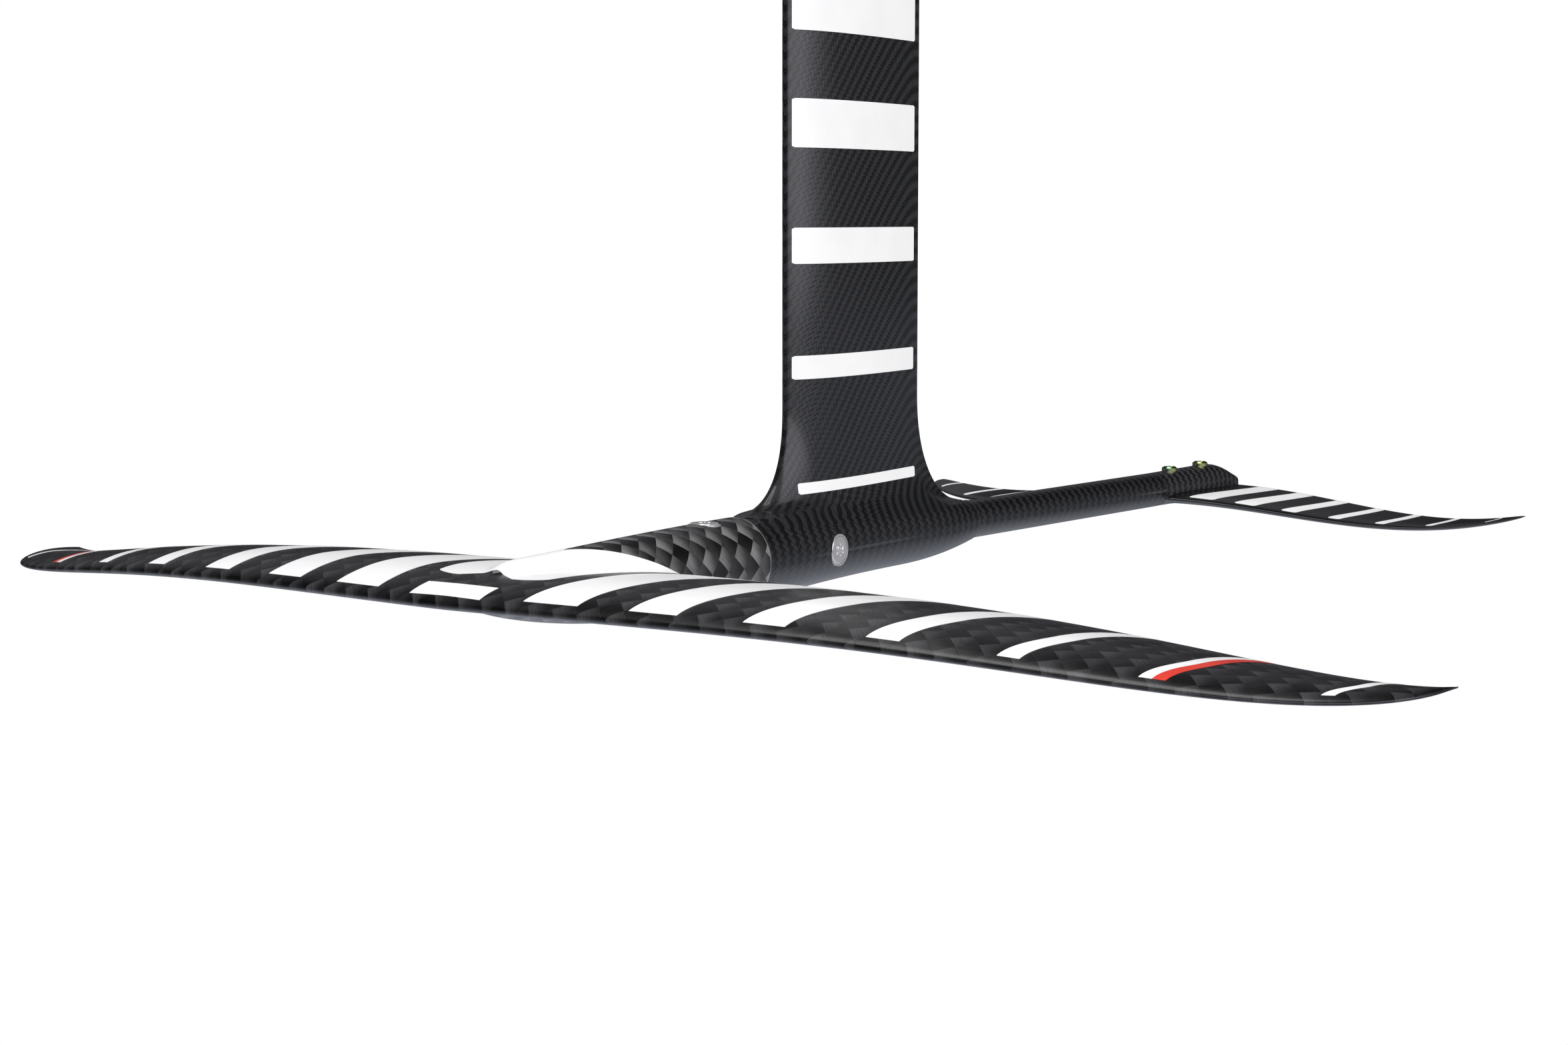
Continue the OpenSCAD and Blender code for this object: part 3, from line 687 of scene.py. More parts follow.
@dataclass(frozen=True)
class CoreFinish:
    """A light core under the skins: wood or foam with a drawn-out grain."""

    name: str
    colour: Colour
    grain_colour: Colour
    stretch: Place
    rough: float = 0.7

    def make(self, effects: Effects) -> bpy.types.Material:
        """Returns the material."""
        material, graph, shader = new_material(self.name)
        grain = graph.noise(graph.vector("MULTIPLY", graph.place(), self.stretch), 60.0, 5.0, 0.6)
        share = graph.ramp(grain, 0.35, 0.65, 0.0, 1.0)
        graph.feed(shader.inputs["Base Color"], graph.mix(share, self.colour, self.grain_colour))
        rough = graph.ramp(grain, 0.3, 0.7, self.rough, self.rough + 0.15)
        graph.feed(shader.inputs["Roughness"], rough)
        graph.feed(shader.inputs["Normal"], graph.bump(grain, 0.1 * MM, 0.5))
        return material


@dataclass(frozen=True)
class PlateFinish:
    """Carbon twill read straight from the plate's own coordinates."""

    name: str = "carbon_plate"
    tow: float = 2.0
    dark: Colour = (0.006, 0.0062, 0.0068)
    light: Colour = (0.03, 0.031, 0.034)

    def make(self, effects: Effects) -> bpy.types.Material:
        """Returns the material."""
        material, graph, shader = new_material(self.name)
        across, along, height = graph.parts(graph.place())
        spot = graph.whole(graph.sum("ADD", across, height), along)
        weave = graph.group(effects.twill, Vector=spot, Tow=self.tow * MM)
        graph.feed(shader.inputs["Base Color"], graph.mix(weave.outputs["Warp"], self.dark, self.light))
        graph.feed(shader.inputs["Roughness"], graph.ramp(weave.outputs["Fibre"], 0.3, 0.7, 0.5, 0.38))
        graph.feed(shader.inputs["Normal"], graph.bump(weave.outputs["Height"], 0.08 * MM))
        shader.inputs["Coat Weight"].default_value = 0.8
        shader.inputs["Coat Roughness"].default_value = 0.15
        return material


class Palette:
    """Every finish of the object, made once."""

    def __init__(self) -> None:
        """Builds the shared effects and the materials."""
        effects = Effects()
        self.twill = TwillFinish().make(effects)
        self.wing = WingFinish().make(effects)
        self.stabiliser = StabiliserFinish().make(effects)
        self.white = PaintFinish("paint_white", (0.93, 0.93, 0.935), (0.90, 0.90, 0.91)).make(effects)
        self.red = PaintFinish("paint_red", (0.80, 0.045, 0.022), (0.72, 0.036, 0.018)).make(effects)
        steel = MetalFinish("steel", (0.82, 0.81, 0.82), (0.74, 0.74, 0.75), metallic=0.7)
        titanium = MetalFinish("titanium", (0.42, 0.41, 0.40), (0.34, 0.33, 0.33), 0.35)
        tinted = MetalFinish("anodised_bolt", (0.34, 0.62, 0.36), (0.74, 0.62, 0.22), 0.2)
        brass = MetalFinish("brass_insert", (0.72, 0.52, 0.22), (0.62, 0.44, 0.2), 0.3)
        core = CoreFinish("core", (0.55, 0.42, 0.27), (0.42, 0.3, 0.18), (1.0, 0.12, 1.0))
        spar = CoreFinish("spar", (0.02, 0.02, 0.022), (0.05, 0.05, 0.055), (1.0, 1.0, 0.08), 0.5)
        self.steel = steel.make(effects)
        self.titanium = titanium.make(effects)
        self.tinted = tinted.make(effects)
        self.brass = brass.make(effects)
        self.core = core.make(effects)
        self.spar = spar.make(effects)
        self.plate = PlateFinish().make(effects)


# ---- Mast and foot ----------------------------------------------------------------------------


@dataclass
class Mast:
    """The mast's blade with its flared foot below and its collar above, in one moulded skin."""

    half_chord: float = 59.0
    thickness: float = 16.5
    edge: float = 0.7
    nose: float = -100.0
    tail: float = 108.0
    seam_radius: float = 20.5
    waist_radius: float = 16.6
    lip_radius: float = 10.9
    flare_top: float = 70.0
    lead_sweep: tuple[float, float, float] = (49.5, 41.0, 2.5)
    trail_sweep: tuple[float, float, float] = (59.1, 49.0, 2.15)
    fillet: float = 14.0
    chamfer: float = 0.35
    top: float = 841.0
    collar_height: float = 32.0
    collar_flare: float = 15.0
    collar_lip: float = 0.8
    columns: int = 72
    cloth_turn: tuple[float, float] = (14.0, 40.0)
    band_heights: tuple[float, float] = (30.4, 57.6)
    band_first: float = 5.3
    band_growth: float = 5.87
    band_count: int = 9
    band_ends: tuple[float, float] = (-57.4, 53.4)

    def lead(self, height: Array) -> Array:
        """Returns the front edge's place at a height."""
        rise, reach, power = self.lead_sweep
        share = np.clip((self.flare_top - height) / rise, 0.0, 1.0)
        swept = self.nose + reach * (1.0 - share**power) ** (1.0 / power)
        return np.maximum(swept, self.nose + self.chamfer)

    def trail(self, height: Array) -> Array:
        """Returns the rear edge's place at a height."""
        rise, reach, power = self.trail_sweep
        share = np.clip((self.flare_top - height) / rise, 0.0, 1.0)
        swept = self.tail - reach * (1.0 - share**power) ** (1.0 / power)
        return np.minimum(swept, self.tail - self.chamfer)

    def radius(self, along: Array) -> Array:
        """Returns the foot's radius at a place along the fuselage."""
        aft = np.maximum(0.0, along - 40.0) / 68.0
        fore = np.maximum(0.0, 40.0 - along) / 140.0
        narrowed = self.waist_radius - (self.waist_radius - self.lip_radius) * aft**2
        return narrowed + (self.seam_radius - self.waist_radius) * fore**2.2

    def blade(self, share: Array) -> Array:
        """Returns the blade's half thickness from its front edge 0 to its rear edge 1."""
        return self.thickness * thickness_curve(share) + self.edge * share

    def half_width(self, height: Array, along: Array) -> Array:
        """Returns the half width of the skin at a height and a place along the fuselage."""
        share = np.clip((along - self.lead(height)) / (self.trail(height) - self.lead(height)), 0.0, 1.0)
        ease = smooth_step(share / 0.14) * smooth_step((1.0 - share) / 0.14)
        reach = self.fillet * ease

        def distance(across: Array) -> Array:
            """Returns the distance from the filleted skin."""
            round_gap = np.sqrt(across**2 + height**2) - self.radius(along)
            return smooth_min(round_gap, across - self.blade(share), reach)

        start = np.zeros(np.broadcast(height, along).shape)
        return root_between(distance, start, start + 60.0)

    def heights(self) -> Array:
        """Returns the heights of the rows from the axis up to the collar."""
        foot = self.seam_radius * np.sin(np.radians(np.linspace(0.0, 90.0, 49)))
        flare = np.linspace(self.seam_radius, self.flare_top, 46)[1:]
        blade = np.linspace(self.flare_top, self.top - self.collar_height, 32)[1:]
        return np.concatenate([foot, flare, blade])

    def skin(self) -> bpy.types.Object:
        """Builds the whole skin as one closed mesh."""
        share = (1.0 - np.cos(np.pi * np.linspace(0.0, 1.0, self.columns + 1))) / 2.0
        heights = self.heights()[:, None]
        along = self.lead(heights) + (self.trail(heights) - self.lead(heights)) * share[None, :]
        across = self.half_width(heights, along)
        rows = [lay_points(across, along, heights)]
        rise = np.sin(np.radians(np.linspace(0.0, 90.0, 15)))[1:]
        grow = self.collar_lip + self.collar_flare * (1.0 - np.sqrt(1.0 - rise**2))
        rise = np.concatenate([[0.0], rise])
        grow = np.concatenate([[self.collar_lip], grow])
        level = self.top - self.collar_height * (1.0 - rise)
        round_off = np.sqrt(1.0 - (2.0 * share - 1.0) ** 6)
        collar_across = self.blade(share)[None, :] + grow[:, None] * round_off[None, :]
        collar_along = (2.0 * share[None, :] - 1.0) * (self.half_chord + grow[:, None])
        rows.append(lay_points(collar_across, collar_along, level[:, None]))
        upper = np.concatenate(rows)
        closing = upper[-1:].copy()
        closing[..., 0] = 0.0
        upper = np.concatenate([upper, closing])
        angle = np.radians(np.linspace(90.0, 0.0, 33))[:-1][:, None]
        low_along = along[:1]
        low_radius = self.radius(low_along)
        lower = lay_points(low_radius * np.cos(angle), low_along, -low_radius * np.sin(angle))
        grid = np.concatenate([lower, upper])
        middle = lower.shape[0]
        step = np.linalg.norm(np.diff(grid, axis=0), axis=-1)
        girth = np.concatenate([np.zeros((1, grid.shape[1])), np.cumsum(step, axis=0)])
        girth = girth - girth[middle][None, :]
        grid, lay = self.close_ends(grid, self.lay_cloth(grid[..., 1], girth))
        shell = Shell()
        shell.add_both_sides(grid, lay)
        return shell.build("mast_skin")

    def lay_cloth(self, along: Array, girth: Array) -> Array:
        """Lays the cloth on the bias round the foot, and turns it straight up the blade.

        Args:
            along: Places along the fuselage.
            girth: Distances up the skin from the foot's widest line.

        Returns:
            The texture places.
        """
        start, width = self.cloth_turn
        reach = np.clip((girth - start) / width, 0.0, 1.0)
        leaned = width * (reach**3 - reach**4 / 2.0) + np.maximum(0.0, girth - start - width)
        turned = smooth_step(reach)
        return BIAS * np.stack([along - leaned, girth + turned * along], axis=-1)

    def close_ends(self, grid: Array, lay: Array) -> tuple[Array, Array]:
        """Adds the chamfered rims and flat caps at the two ends of the foot.

        Args:
            grid: The port side's points.
            lay: Their texture places.

        Returns:
            The longer grid and texture places.
        """
        columns = []
        for edge, radius, end in ((0, self.seam_radius, self.nose), (-1, self.lip_radius, self.tail)):
            rim = grid[:, edge].copy()
            on_ring = rim[:, 2] <= radius + 1e-6
            shrink = (radius - self.chamfer) / radius
            rim[on_ring] = rim[on_ring] * np.array([shrink, 0.0, shrink]) + np.array([0.0, end, 0.0])
            cap = rim.copy()
            cap[:, 0] = 0.0
            columns.append((rim, cap))
        (front_rim, front_cap), (rear_rim, rear_cap) = columns
        extra_front = [front_cap[:, None], front_rim[:, None]]
        extra_rear = [rear_rim[:, None], rear_cap[:, None]]
        longer = np.concatenate([*extra_front, grid, *extra_rear], axis=1)
        first = lay[:, :1]
        last = lay[:, -1:]
        return longer, np.concatenate([first, first, lay, last, last], axis=1)

    def bands(self) -> bpy.types.Object:
        """Builds the white bands across both sides of the blade."""
        shell = Shell()
        start, end = self.band_ends
        for number in range(self.band_count):
            centre = self.band_heights[0] + self.band_heights[1] * number
            half = (self.band_first + self.band_growth * number) / 2.0
            along = np.linspace(start, end, 90)
            corner = min(0.6, half)
            from_end = np.minimum(along - start, end - along)
            short = np.maximum(0.0, corner - from_end)
            inset = corner - np.sqrt(np.maximum(0.0, corner**2 - short**2))
            share = np.linspace(-1.0, 1.0, 9)[:, None]
            height = centre + share * (half - inset)[None, :]
            across = self.half_width(height, along[None, :])
            for side in (1.0, -1.0):
                top = lay_points(side * (across + 0.09), along[None, :], height)
                under = lay_points(side * (across - 0.3), along[None, :], height)
                add_slab(shell, top, under)
        return shell.build("mast_bands")

    def build(self, palette: Palette) -> None:
        """Builds and dresses the mast."""
        nodes = ("mast_skin_port", "mast_skin_starboard", "mast_foot", "mast_collar")
        skin = self.skin()
        sink_pocket(skin, (13.2, -38.0, 0.0), 7.8, Facing.PORT, 12.0)
        take_over(skin, palette.twill, nodes)
        take_over(self.bands(), palette.white)


# ---- Foils ------------------------------------------------------------------------------------


@dataclass
class Foil:
    """A swept foil: its outline, its droop and its section, from the root 0 to the tip 1."""

    half_span: float
    root_lead: float
    tip: float
    lead_power: float
    lead_round: float
    root_trail: float
    trail_power: float
    droop: tuple[float, float, float, float]
    ratio: float
    ratio_growth: float
    camber: float
    incidence: float
    twist: float
    edge: float

    def share(self, across: Array) -> Array:
        """Returns the share of the half span at a place."""
        return np.clip(np.abs(across) / self.half_span, 0.0, 1.0)

    def lead(self, across: Array) -> Array:
        """Returns the front edge's place."""
        gone = (1.0 - self.share(across) ** self.lead_power) ** self.lead_round
        return self.tip - (self.tip - self.root_lead) * gone

    def trail(self, across: Array) -> Array:
        """Returns the rear edge's place."""
        return self.root_trail + (self.tip - self.root_trail) * self.share(across) ** self.trail_power

    def chord(self, across: Array) -> Array:
        """Returns the chord."""
        return np.maximum(self.trail(across) - self.lead(across), 0.0)

    def middle(self, across: Array, place: Array) -> Array:
        """Returns the height of the section's middle line."""
        share = self.share(across)
        level = sum(value * share ** (2 * power) for power, value in enumerate(self.droop))
        fore = self.camber / 0.16 * (0.8 * place - place**2)
        aft = self.camber / 0.36 * (0.2 + 0.8 * place - place**2)
        bow = np.where(place < 0.4, fore, aft)
        return level + self.chord(across) * (bow - place * (self.incidence + self.twist * share**2))

    def half(self, across: Array, place: Array) -> Array:
        """Returns the section's half thickness."""
        share = self.share(across)
        full = self.ratio * (1.0 + self.ratio_growth * share**2)
        blunt = self.edge * place * np.minimum(1.0, self.chord(across) / 20.0)
        return self.chord(across) * full * thickness_curve(place) + blunt


@dataclass
class FoilShell:
    """A foil filleted onto a round body that runs through it."""

    foil: Foil
    side_at: Callable[[Array], Array]
    top_at: Callable[[Array], Array]
    low_at: Callable[[Array], Array]
    middle_at: Callable[[Array], Array]
    fillet_at: Callable[[Array], Array]
    rows: int = 60
    inner: int = 22
    least_side: float = 4.0
    outward: tuple[float, ...] = (
        0.12, 0.35, 0.7, 1.2, 1.9, 2.8, 4.0, 5.5, 7.5, 10.0, 13.5, 18.0, 24.0, 32.0,
    )
    tip_columns: int = 56

    def height(self, across: Array, place: Array, upper: bool) -> tuple[Array, Array]:
        """Finds the surface over a place on the plan.

        Args:
            across: Distance from the middle plane.
            place: Share of the chord.
            upper: True for the upper surface.

        Returns:
            The height, and how far the surface belongs to the body, from 0 to 1.
        """
        along = self.foil.lead(across) + self.foil.chord(across) * place
        middle = self.foil.middle(across, place)
        half = self.foil.half(across, place)
        side = self.side_at(along)
        centre = self.middle_at(along)
        depth = self.top_at(along) - centre if upper else centre - self.low_at(along)
        extent = np.maximum(depth, 0.05)
        reach = self.fillet_at(along)
        sign = 1.0 if upper else -1.0

        def body_gap(rise: Array) -> Array:
            """Returns the distance from the body at a distance above or below the foil's middle."""
            up = middle + sign * rise - centre
            held = np.where(sign * up > 0.0, up, 0.0)
            return np.where(side < 0.1, 50.0, ellipse_gap(across, held, side, extent))

        def distance(rise: Array) -> Array:
            """Returns the distance from the filleted union."""
            return smooth_min(body_gap(rise), rise - half, reach)

        low = np.zeros(np.broadcast(across, place).shape)
        rise = root_between(distance, low, low + 45.0)
        gap = body_gap(rise)
        belongs = smooth_step(0.5 + (rise - half - gap) / 3.0)
        return middle + sign * rise, belongs

    def columns(self, place: Array) -> Array:
        """Returns how far out each column is, at each share of the root's chord."""
        along = self.foil.root_lead + (self.foil.root_trail - self.foil.root_lead) * place
        side = np.maximum(self.side_at(along), self.least_side)[:, None]
        angle = np.radians(np.linspace(0.0, 90.0, self.inner + 1))[None, :]
        inner = side * np.sin(angle)
        edge = float(side.max()) + self.outward[-1]
        steps = np.array(self.outward)[None, :]
        middle = side + steps * (edge - side) / self.outward[-1]
        near = smooth_step(steps / self.outward[-1])
        middle = side + steps * (1.0 - near) + (middle - side) * near
        first = math.asin(edge / self.foil.half_span)
        spread = np.sin(np.linspace(first, math.pi / 2.0, self.tip_columns + 1))[1:-1]
        ends = np.array([0.9995, 0.9999, 0.99999, 1.0])
        spread = np.concatenate([spread[spread < 0.9992], ends])
        outer = np.broadcast_to(self.foil.half_span * spread, (place.size, spread.size))
        return np.concatenate([inner, middle, outer], axis=1)

    def build(self, name: str) -> bpy.types.Object:
        """Builds the shell as one closed mesh."""
        place = np.linspace(0.0, 1.0, self.rows + 1) ** 1.6
        across = self.columns(place)
        spot = np.broadcast_to(place[:, None], across.shape)
        along = self.foil.lead(across) + self.foil.chord(across) * spot
        grids = []
        for upper in (True, False):
            height, belongs = self.height(across, spot, upper)
            grid = lay_points(across, along, height)
            step = np.linalg.norm(np.diff(grid, axis=1), axis=-1)
            girth = np.concatenate([np.zeros((grid.shape[0], 1)), np.cumsum(step, axis=1)], axis=1)
            lay = BIAS * np.stack([along, girth if upper else -girth], axis=-1)
            grids.append((grid, lay, belongs))
        shell = Shell()
        for grid, lay, belongs in grids:
            shell.add_both_sides(grid, lay, belongs)
        for edge in (0, -1):
            wall = np.stack([grids[0][0][edge], grids[1][0][edge]])
            lay = np.stack([grids[0][1][edge], grids[1][1][edge]])
            belongs = np.stack([grids[0][2][edge], grids[1][2][edge]])
            shell.add_both_sides(wall, lay, belongs)
        return shell.build(name)

    def band(
        self,
        shell: Shell,
        inside: tuple[Callable[[Array], Array], Callable[[Array], Array]],
        places: tuple[Callable[[Array], Array], Callable[[Array], Array]],
        rounded: float = 0.0,
    ) -> None:
        """Adds one inlaid band on the upper surface, port and starboard.

        Args:
            shell: The shell that takes the band.
            inside: Its inner and outer side at a share of its run, 0 in front and 1 behind.
            places: The share of the chord at its front and rear end, at a place across.
            rounded: The radius of its front corners.
        """
        run = np.concatenate([np.linspace(0.0, 0.04, 9), np.linspace(0.04, 1.0, 56)[1:]])[:, None]
        spread = np.linspace(0.0, 1.0, 13)[None, :]
        inner_side = inside[0](run)
        outer_side = inside[1](run)
        across = inner_side + (outer_side - inner_side) * spread
        front = places[0](across)
        if rounded > 0.0:
            from_side = np.minimum(across - inner_side, outer_side - across)
            short = np.maximum(0.0, rounded - from_side)
            inset = rounded - np.sqrt(np.maximum(0.0, rounded**2 - short**2))
            front = front + inset / self.foil.chord(across)
        rear = places[1](across)
        spot = front + (rear - front) * run
        height, _ = self.height(across, spot, True)
        along = self.foil.lead(across) + self.foil.chord(across) * spot
        for side in (1.0, -1.0):
            top = lay_points(side * across, along, height + 0.09)
            under = lay_points(side * across, along, height - 0.28)
            add_slab(shell, top, under)


@dataclass
class FrontWing:
    """The front wing with the neck that carries it, the neck's white crest and the wing's bands."""

    neck_length: float = 186.0
    seam: float = -100.0
    seam_radius: float = 20.5
    trail: float = -159.7
    chamfer: float = 0.35
    white_bands: tuple[tuple[float, float], ...] = (
        (38.9, 64.5),
        (88.0, 109.3),
        (137.6, 155.1),
        (187.7, 200.7),
        (237.5, 245.8),
        (345.5, 349.5),
    )
    split_band: tuple[float, float, float] = (287.6, 292.2, 296.8)
    drift: float = 5.0
    crest_front: float = -277.4
    crest_rear: float = -172.0
    crest_corner: float = 6.4
    crest_round: float = 14.0
    crest_lower: tuple[float, float, float] = (7.0, 16.0, 0.72)
    crest_upper: tuple[float, float] = (9.9, 148.0)
    crest_notch: float = 7.6
    crest_beak: float = 50.0
    foil: Foil = field(
        default_factory=lambda: Foil(
            374.5, -306.6, -165.8, 1.386, 0.3545, -159.7, 2.131, (3.9, -2.53, -52.96, 38.89),
            0.0876, -0.084, 0.026, 0.0239, 0.0072, 0.35,
        )
    )

    def share(self, along: Array) -> Array:
        """Returns how far along the neck a place is, from the seam 0 to the nose 1."""
        return np.clip((self.seam - along) / self.neck_length, 0.0, 1.0)

    def side(self, along: Array) -> Array:
        """Returns the neck's half width."""
        full = self.seam_radius * (1.0 - self.share(along) ** 3.2) ** 0.6
        return np.maximum(full, 0.05)

    def top(self, along: Array) -> Array:
        """Returns the neck's height above the axis."""
        share = self.share(along)
        fall = smooth_step((share - 0.85) / 0.15)
        full = self.seam_radius - 3.6 * (np.minimum(share, 0.84) / 0.84) ** 1.5 - 7.9 * fall
        return np.where(share < 0.999, full, 0.05)

    def low(self, along: Array) -> Array:
        """Returns the neck's depth below the axis, less than zero."""
        return -np.maximum(self.seam_radius * (1.0 - self.share(along) ** 2.4) ** 0.8, 0.05)

    def fillet(self, along: Array) -> Array:
        """Returns the fillet between the neck and the wing, which dies out at both ends."""
        fore = smooth_step((along - (self.seam - self.neck_length)) / 36.0)
        aft = smooth_step((-160.0 - along) / 25.0)
        return 6.5 * aft * fore

    def shell(self) -> FoilShell:
        """Returns the wing and neck as one filleted form."""
        return FoilShell(
            self.foil,
            self.side,
            self.top,
            self.low,
            np.zeros_like,
            self.fillet,
            rows=84,
        )

    def neck(self) -> bpy.types.Object:
        """Builds the neck behind the wing, up to the seam."""
        rim = self.seam - self.chamfer
        sunk = self.trail - np.array([0.8, 3.0, 14.0])
        along = np.concatenate([[self.seam], np.linspace(rim, self.trail, 46), sunk])
        shrink = np.zeros(along.size)
        shrink[0] = self.chamfer
        shrink[-3:] = (0.18, 0.25, 0.4)
        angle = np.radians(np.linspace(0.0, 360.0, 145))[:, None]
        extent = np.where(np.sin(angle) >= 0.0, self.top(along), -self.low(along)) - shrink
        across = (self.side(along) - shrink) * np.cos(angle)
        grid = lay_points(across, along[None, :], extent * np.sin(angle))
        shell = Shell()
        shell.add(grid, None, np.ones(grid.shape[:2]))
        return shell.build("neck_skin")

    def radial(self, along: Array, angle: Array, form: FoilShell) -> Array:
        """Returns how far the upper surface is from the axis, at an angle above the horizontal."""
        side = self.side(along)
        top = self.top(along)

        def distance(reach: Array) -> Array:
            """Returns the distance from the filleted union along the ray."""
            across = reach * np.cos(angle)
            up = reach * np.sin(angle)
            place = np.clip((along - self.foil.lead(across)) / self.foil.chord(across), 0.0, 1.0)
            skin = np.abs(up - self.foil.middle(across, place)) - self.foil.half(across, place)
            off_wing = np.where(along < self.trail, skin, 99.0)
            fillet = form.fillet_at(along)
            return smooth_min(ellipse_gap(across, up, side, top), off_wing, fillet)

        start = np.full(angle.shape, 2.0)
        return root_between(distance, start, start + 42.0)

    def crest(self, form: FoilShell) -> bpy.types.Object:
        """Builds the white sweep over the neck's crown, which narrows down each side behind."""
        nose = np.linspace(self.crest_front, self.crest_front + self.crest_notch, 26)
        crown = np.linspace(self.crest_front + self.crest_notch, self.crest_rear, 66)[1:]
        along = np.concatenate([nose, crown])[:, None]
        back = (self.crest_rear - along) / 100.0
        turn = np.clip((self.crest_front + self.crest_corner - along) / self.crest_corner, 0.0, 1.0)
        start, rise, power = self.crest_lower
        rounded = self.crest_round * (1.0 - np.sqrt(1.0 - turn**2))
        lower = start + rise * back**power + rounded
        first, climb = self.crest_upper
        upper = np.clip(first + climb * back, first, 90.0)
        ahead = np.clip((self.crest_front + self.crest_notch - along) / self.crest_notch, 0.0, 1.0)
        upper = upper - self.crest_beak * ahead**0.6
        share = np.linspace(0.0, 1.0, 33)[None, :]
        angle = np.radians(lower + (upper - lower) * share)
        spot = np.broadcast_to(along, angle.shape)
        reach = self.radial(spot, angle, form)
        behind = nose.size - 1 + int(np.argmax(upper[nose.size :, 0] < 90.0))
        shell = Shell()
        for side in (1.0, -1.0):
            grids = [
                lay_points(side * (reach + lift) * np.cos(angle), spot, (reach + lift) * np.sin(angle))
                for lift in (0.1, -0.3)
            ]
            top, under = grids
            walls = [
                (top[0], under[0]),
                (top[-1], under[-1]),
                (top[:, 0], under[:, 0]),
                (top[: nose.size, -1], under[: nose.size, -1]),
                (top[behind:, -1], under[behind:, -1]),
            ]
            for grid in (top, under, *(np.stack(wall) for wall in walls)):
                shell.add(grid)
        return shell.build("neck_crest")

    def wing_bands(self, form: FoilShell) -> tuple[bpy.types.Object, bpy.types.Object]:
        """Builds the white bands and the outboard half of the one that is red."""

        def drifted(start: float) -> Callable[[Array], Array]:
            """Returns a band's side, which drifts outboard towards the wing's crest."""
            return lambda run: start + self.drift * smooth_step(run / 0.35)

        def front(across: Array) -> Array:
            """Returns the share of the chord at a band's front end."""
            return 5.0 / self.foil.chord(across)

        def rear(across: Array) -> Array:
            """Returns the share of the chord at a band's rear end."""
            return np.full_like(across, 0.965)

        white = Shell()
        for start, end in self.white_bands:
            form.band(white, (drifted(start), drifted(end)), (front, rear))
        form.band(white, (drifted(self.split_band[0]), drifted(self.split_band[1])), (front, rear))
        red = Shell()
        form.band(red, (drifted(self.split_band[1]), drifted(self.split_band[2])), (front, rear))
        self.centre_band(white, form)
        return white.build("front_wing_bands"), red.build("front_wing_band_red")

    def centre_band(self, shell: Shell, form: FoilShell) -> None:
        """Adds the short band on the wing's nose, ahead of the neck."""
        across = np.linspace(-18.7, 18.7, 25)[None, :]
        run = np.linspace(0.0, 1.0, 14)[:, None]
        along = -302.6 + run * 12.0
        place = (along - self.foil.lead(across)) / self.foil.chord(across)
        height, _ = form.height(np.abs(across), place, True)
        add_slab(shell, lay_points(across, along, height + 0.09), lay_points(across, along, height - 0.28))

    def build(self, palette: Palette) -> None:
        """Builds and dresses the front wing."""
        form = self.shell()
        wing = form.build("front_wing_skin")
        take_over(wing, palette.wing, ("wing_upper_skin", "wing_lower_skin"))
        neck = self.neck()
        sink_pocket(neck, (0.0, -124.3, 15.2), 7.8, Facing.UP, 12.0)
        take_over(neck, palette.wing, ("wing_neck",))
        take_over(self.crest(form), palette.white)
        white, red = self.wing_bands(form)
        take_over(white, palette.white)
        take_over(red, palette.red)


